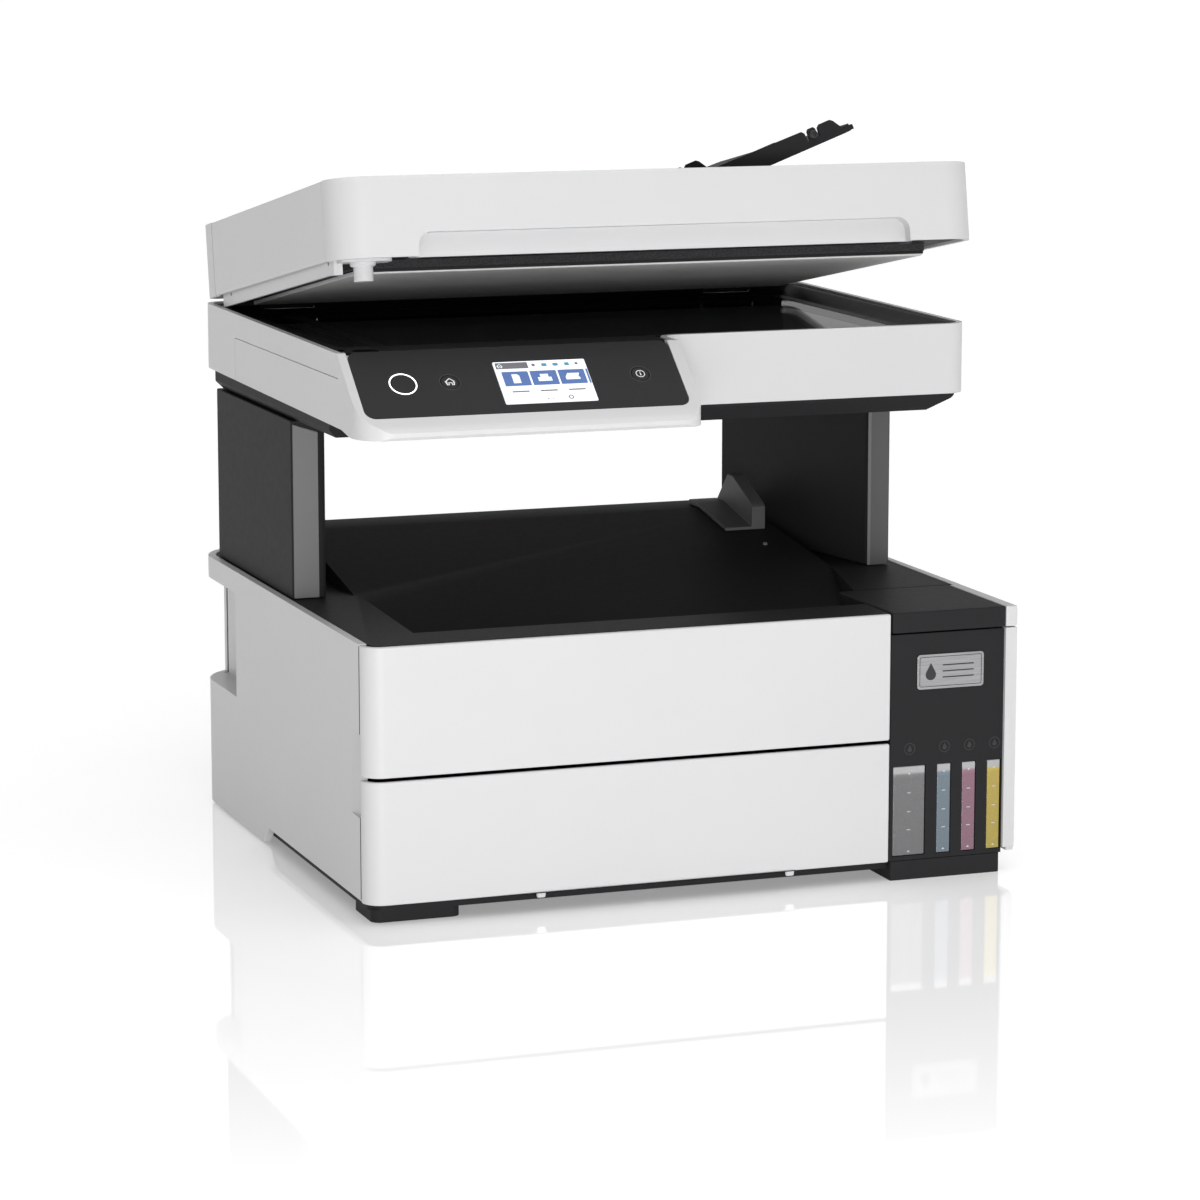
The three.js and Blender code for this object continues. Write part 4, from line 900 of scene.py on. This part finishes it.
def lid_fittings():
    """The collar of the peg, the two holes in the rib, and the feeder tray's knob."""
    turned("lid_peg_collar", COLLAR_PROFILE, [LID_PEG], LID @ under_plane(LID_FOOT_Z),
           FINISHES["white_casing"], "lid", sides=36)
    turned("rib_holes", RIB_HOLE_PROFILE, RIB_HOLE_SPOTS, LID @ left_face(LID_RIB_X), DARK_EMBOSS, "lid",
           sides=20)
    turned("tray_stop_knob", KNOB_PROFILE, [KNOB_SPOT], TRAY @ front_face(TRAY_FRONT_Y), DARK_EMBOSS,
           "feeder_tray", sides=24)


# ------------------------------------------------------------------ back and underside

PORT_STEEL = brushed("port_steel", (0.5, 0.5, 0.51), 0.3, "z")
USB_SHELL = (-86, -74, 30, 41)
USB_SHELL_WALL = 0.8
USB_TONGUE = (-83, -77, 33.5, 37.5)
USB_SUNK = -0.5
REAR_SCREWS = [(-146, 12), (146, 12), (-146, 142), (146, 142), (0, 12)]
LATCH_CENTRES_X = (-78, 98)
LATCH_HALF = 11
LATCH_Z = (96, 122)
RIDGE_HALF = 7
RIDGES_Z = (103, 107.5, 112)
DUPLEX_RIBS_Z = (88, 129)
PAN_FLOOR_Z = 6
PAN_LONG_RIBS_X = (-90, -45, 0, 45, 90)
PAN_CROSS_RIBS_Y = (130, -140)
PAN_SCREWS = [(-150, -60), (-150, 60), (140, -60), (140, 60), (-20, -150)]


def screw_head(radius):
    """The profile of a domed screw head with a round socket."""
    return [(0, 0.15), (radius * 0.35, 0.15), (radius * 0.42, 0.55), (radius * 0.8, 0.5), (radius, 0), (0, 0)]


def rear_details():
    """The USB socket and the screws of the rear panel."""
    face = rear_face(box_mm("rear_panel")[1].y)
    plate("usb_shell", [rounded(*USB_SHELL, 1), inset(USB_SHELL, USB_SHELL_WALL, 0.6)], USB_SUNK, 1.5, face,
          PORT_STEEL, "body", soft=0.1)
    plate("usb_tongue", [rounded(*USB_TONGUE, 0.4)], USB_SUNK, 1.2, face, FINISHES["document_white"], "body",
          soft=0.1)
    turned("rear_screws", screw_head(3.2), REAR_SCREWS, face, SCREW_STEEL, "body", sides=24)


def duplex_details():
    """The two latches with their ridges, and the ribs, on the back of the duplexer."""
    face = rear_face(box_mm("duplex_unit")[1].y)
    grey = FINISHES["grey_plastic"]
    latches = [rounded(x - LATCH_HALF, x + LATCH_HALF, *LATCH_Z, 3) for x in LATCH_CENTRES_X]
    plate("duplex_latches", latches, 0, 1.0, face, grey, "duplexer", soft=0.4)
    ridges = [rounded(x - RIDGE_HALF, x + RIDGE_HALF, z, z + 1.4, 0.6, 3)
              for x in LATCH_CENTRES_X for z in RIDGES_Z]
    plate("latch_ridges", ridges, 1.0, 1.8, face, grey, "duplexer", soft=0.3)
    ribs = [rounded(-60, 80, z, z + 1.2, 0.5, 3) for z in DUPLEX_RIBS_Z]
    plate("duplex_ribs", ribs, 0, 0.5, face, FINISHES["charcoal_casing"], "duplexer",
          soft=0.2)


def under_details():
    """The ribs and the screws under the base pan."""
    pan = under_plane(PAN_FLOOR_Z)
    ribs = [rounded(x - 1, x + 1, -120, 96, 0.8, 3) for x in PAN_LONG_RIBS_X]
    ribs += [rounded(-130, 130, y - 1, y + 1, 0.8, 3) for y in PAN_CROSS_RIBS_Y]
    plate("pan_ribs", ribs, -0.1, 2.2, pan, FINISHES["charcoal_casing"], "body", soft=0.3)
    turned("pan_screws", screw_head(3.4), PAN_SCREWS, pan, SCREW_STEEL, "body", sides=24)


# ------------------------------------------------------------------ run

make_camera()
make_world()
make_floor()
sun_light("overhead", azimuth=12, elevation=74, angle=70, strength=1.45)
area_light("front_key", place=(-0.34, -1.6, 0.2), towards=(-0.1, -0.17, 0.12), size=(0.8, 0.3), power=13)
bpy.context.scene.view_settings.view_transform = "Standard"

dress_nodes()
panel_details()
screen_details()
ink_unit_details()
deck_details()
corner_details()
painted_shade_liners()
rear_seal()
lid_details()
lid_fittings()
rear_details()
duplex_details()
under_details()
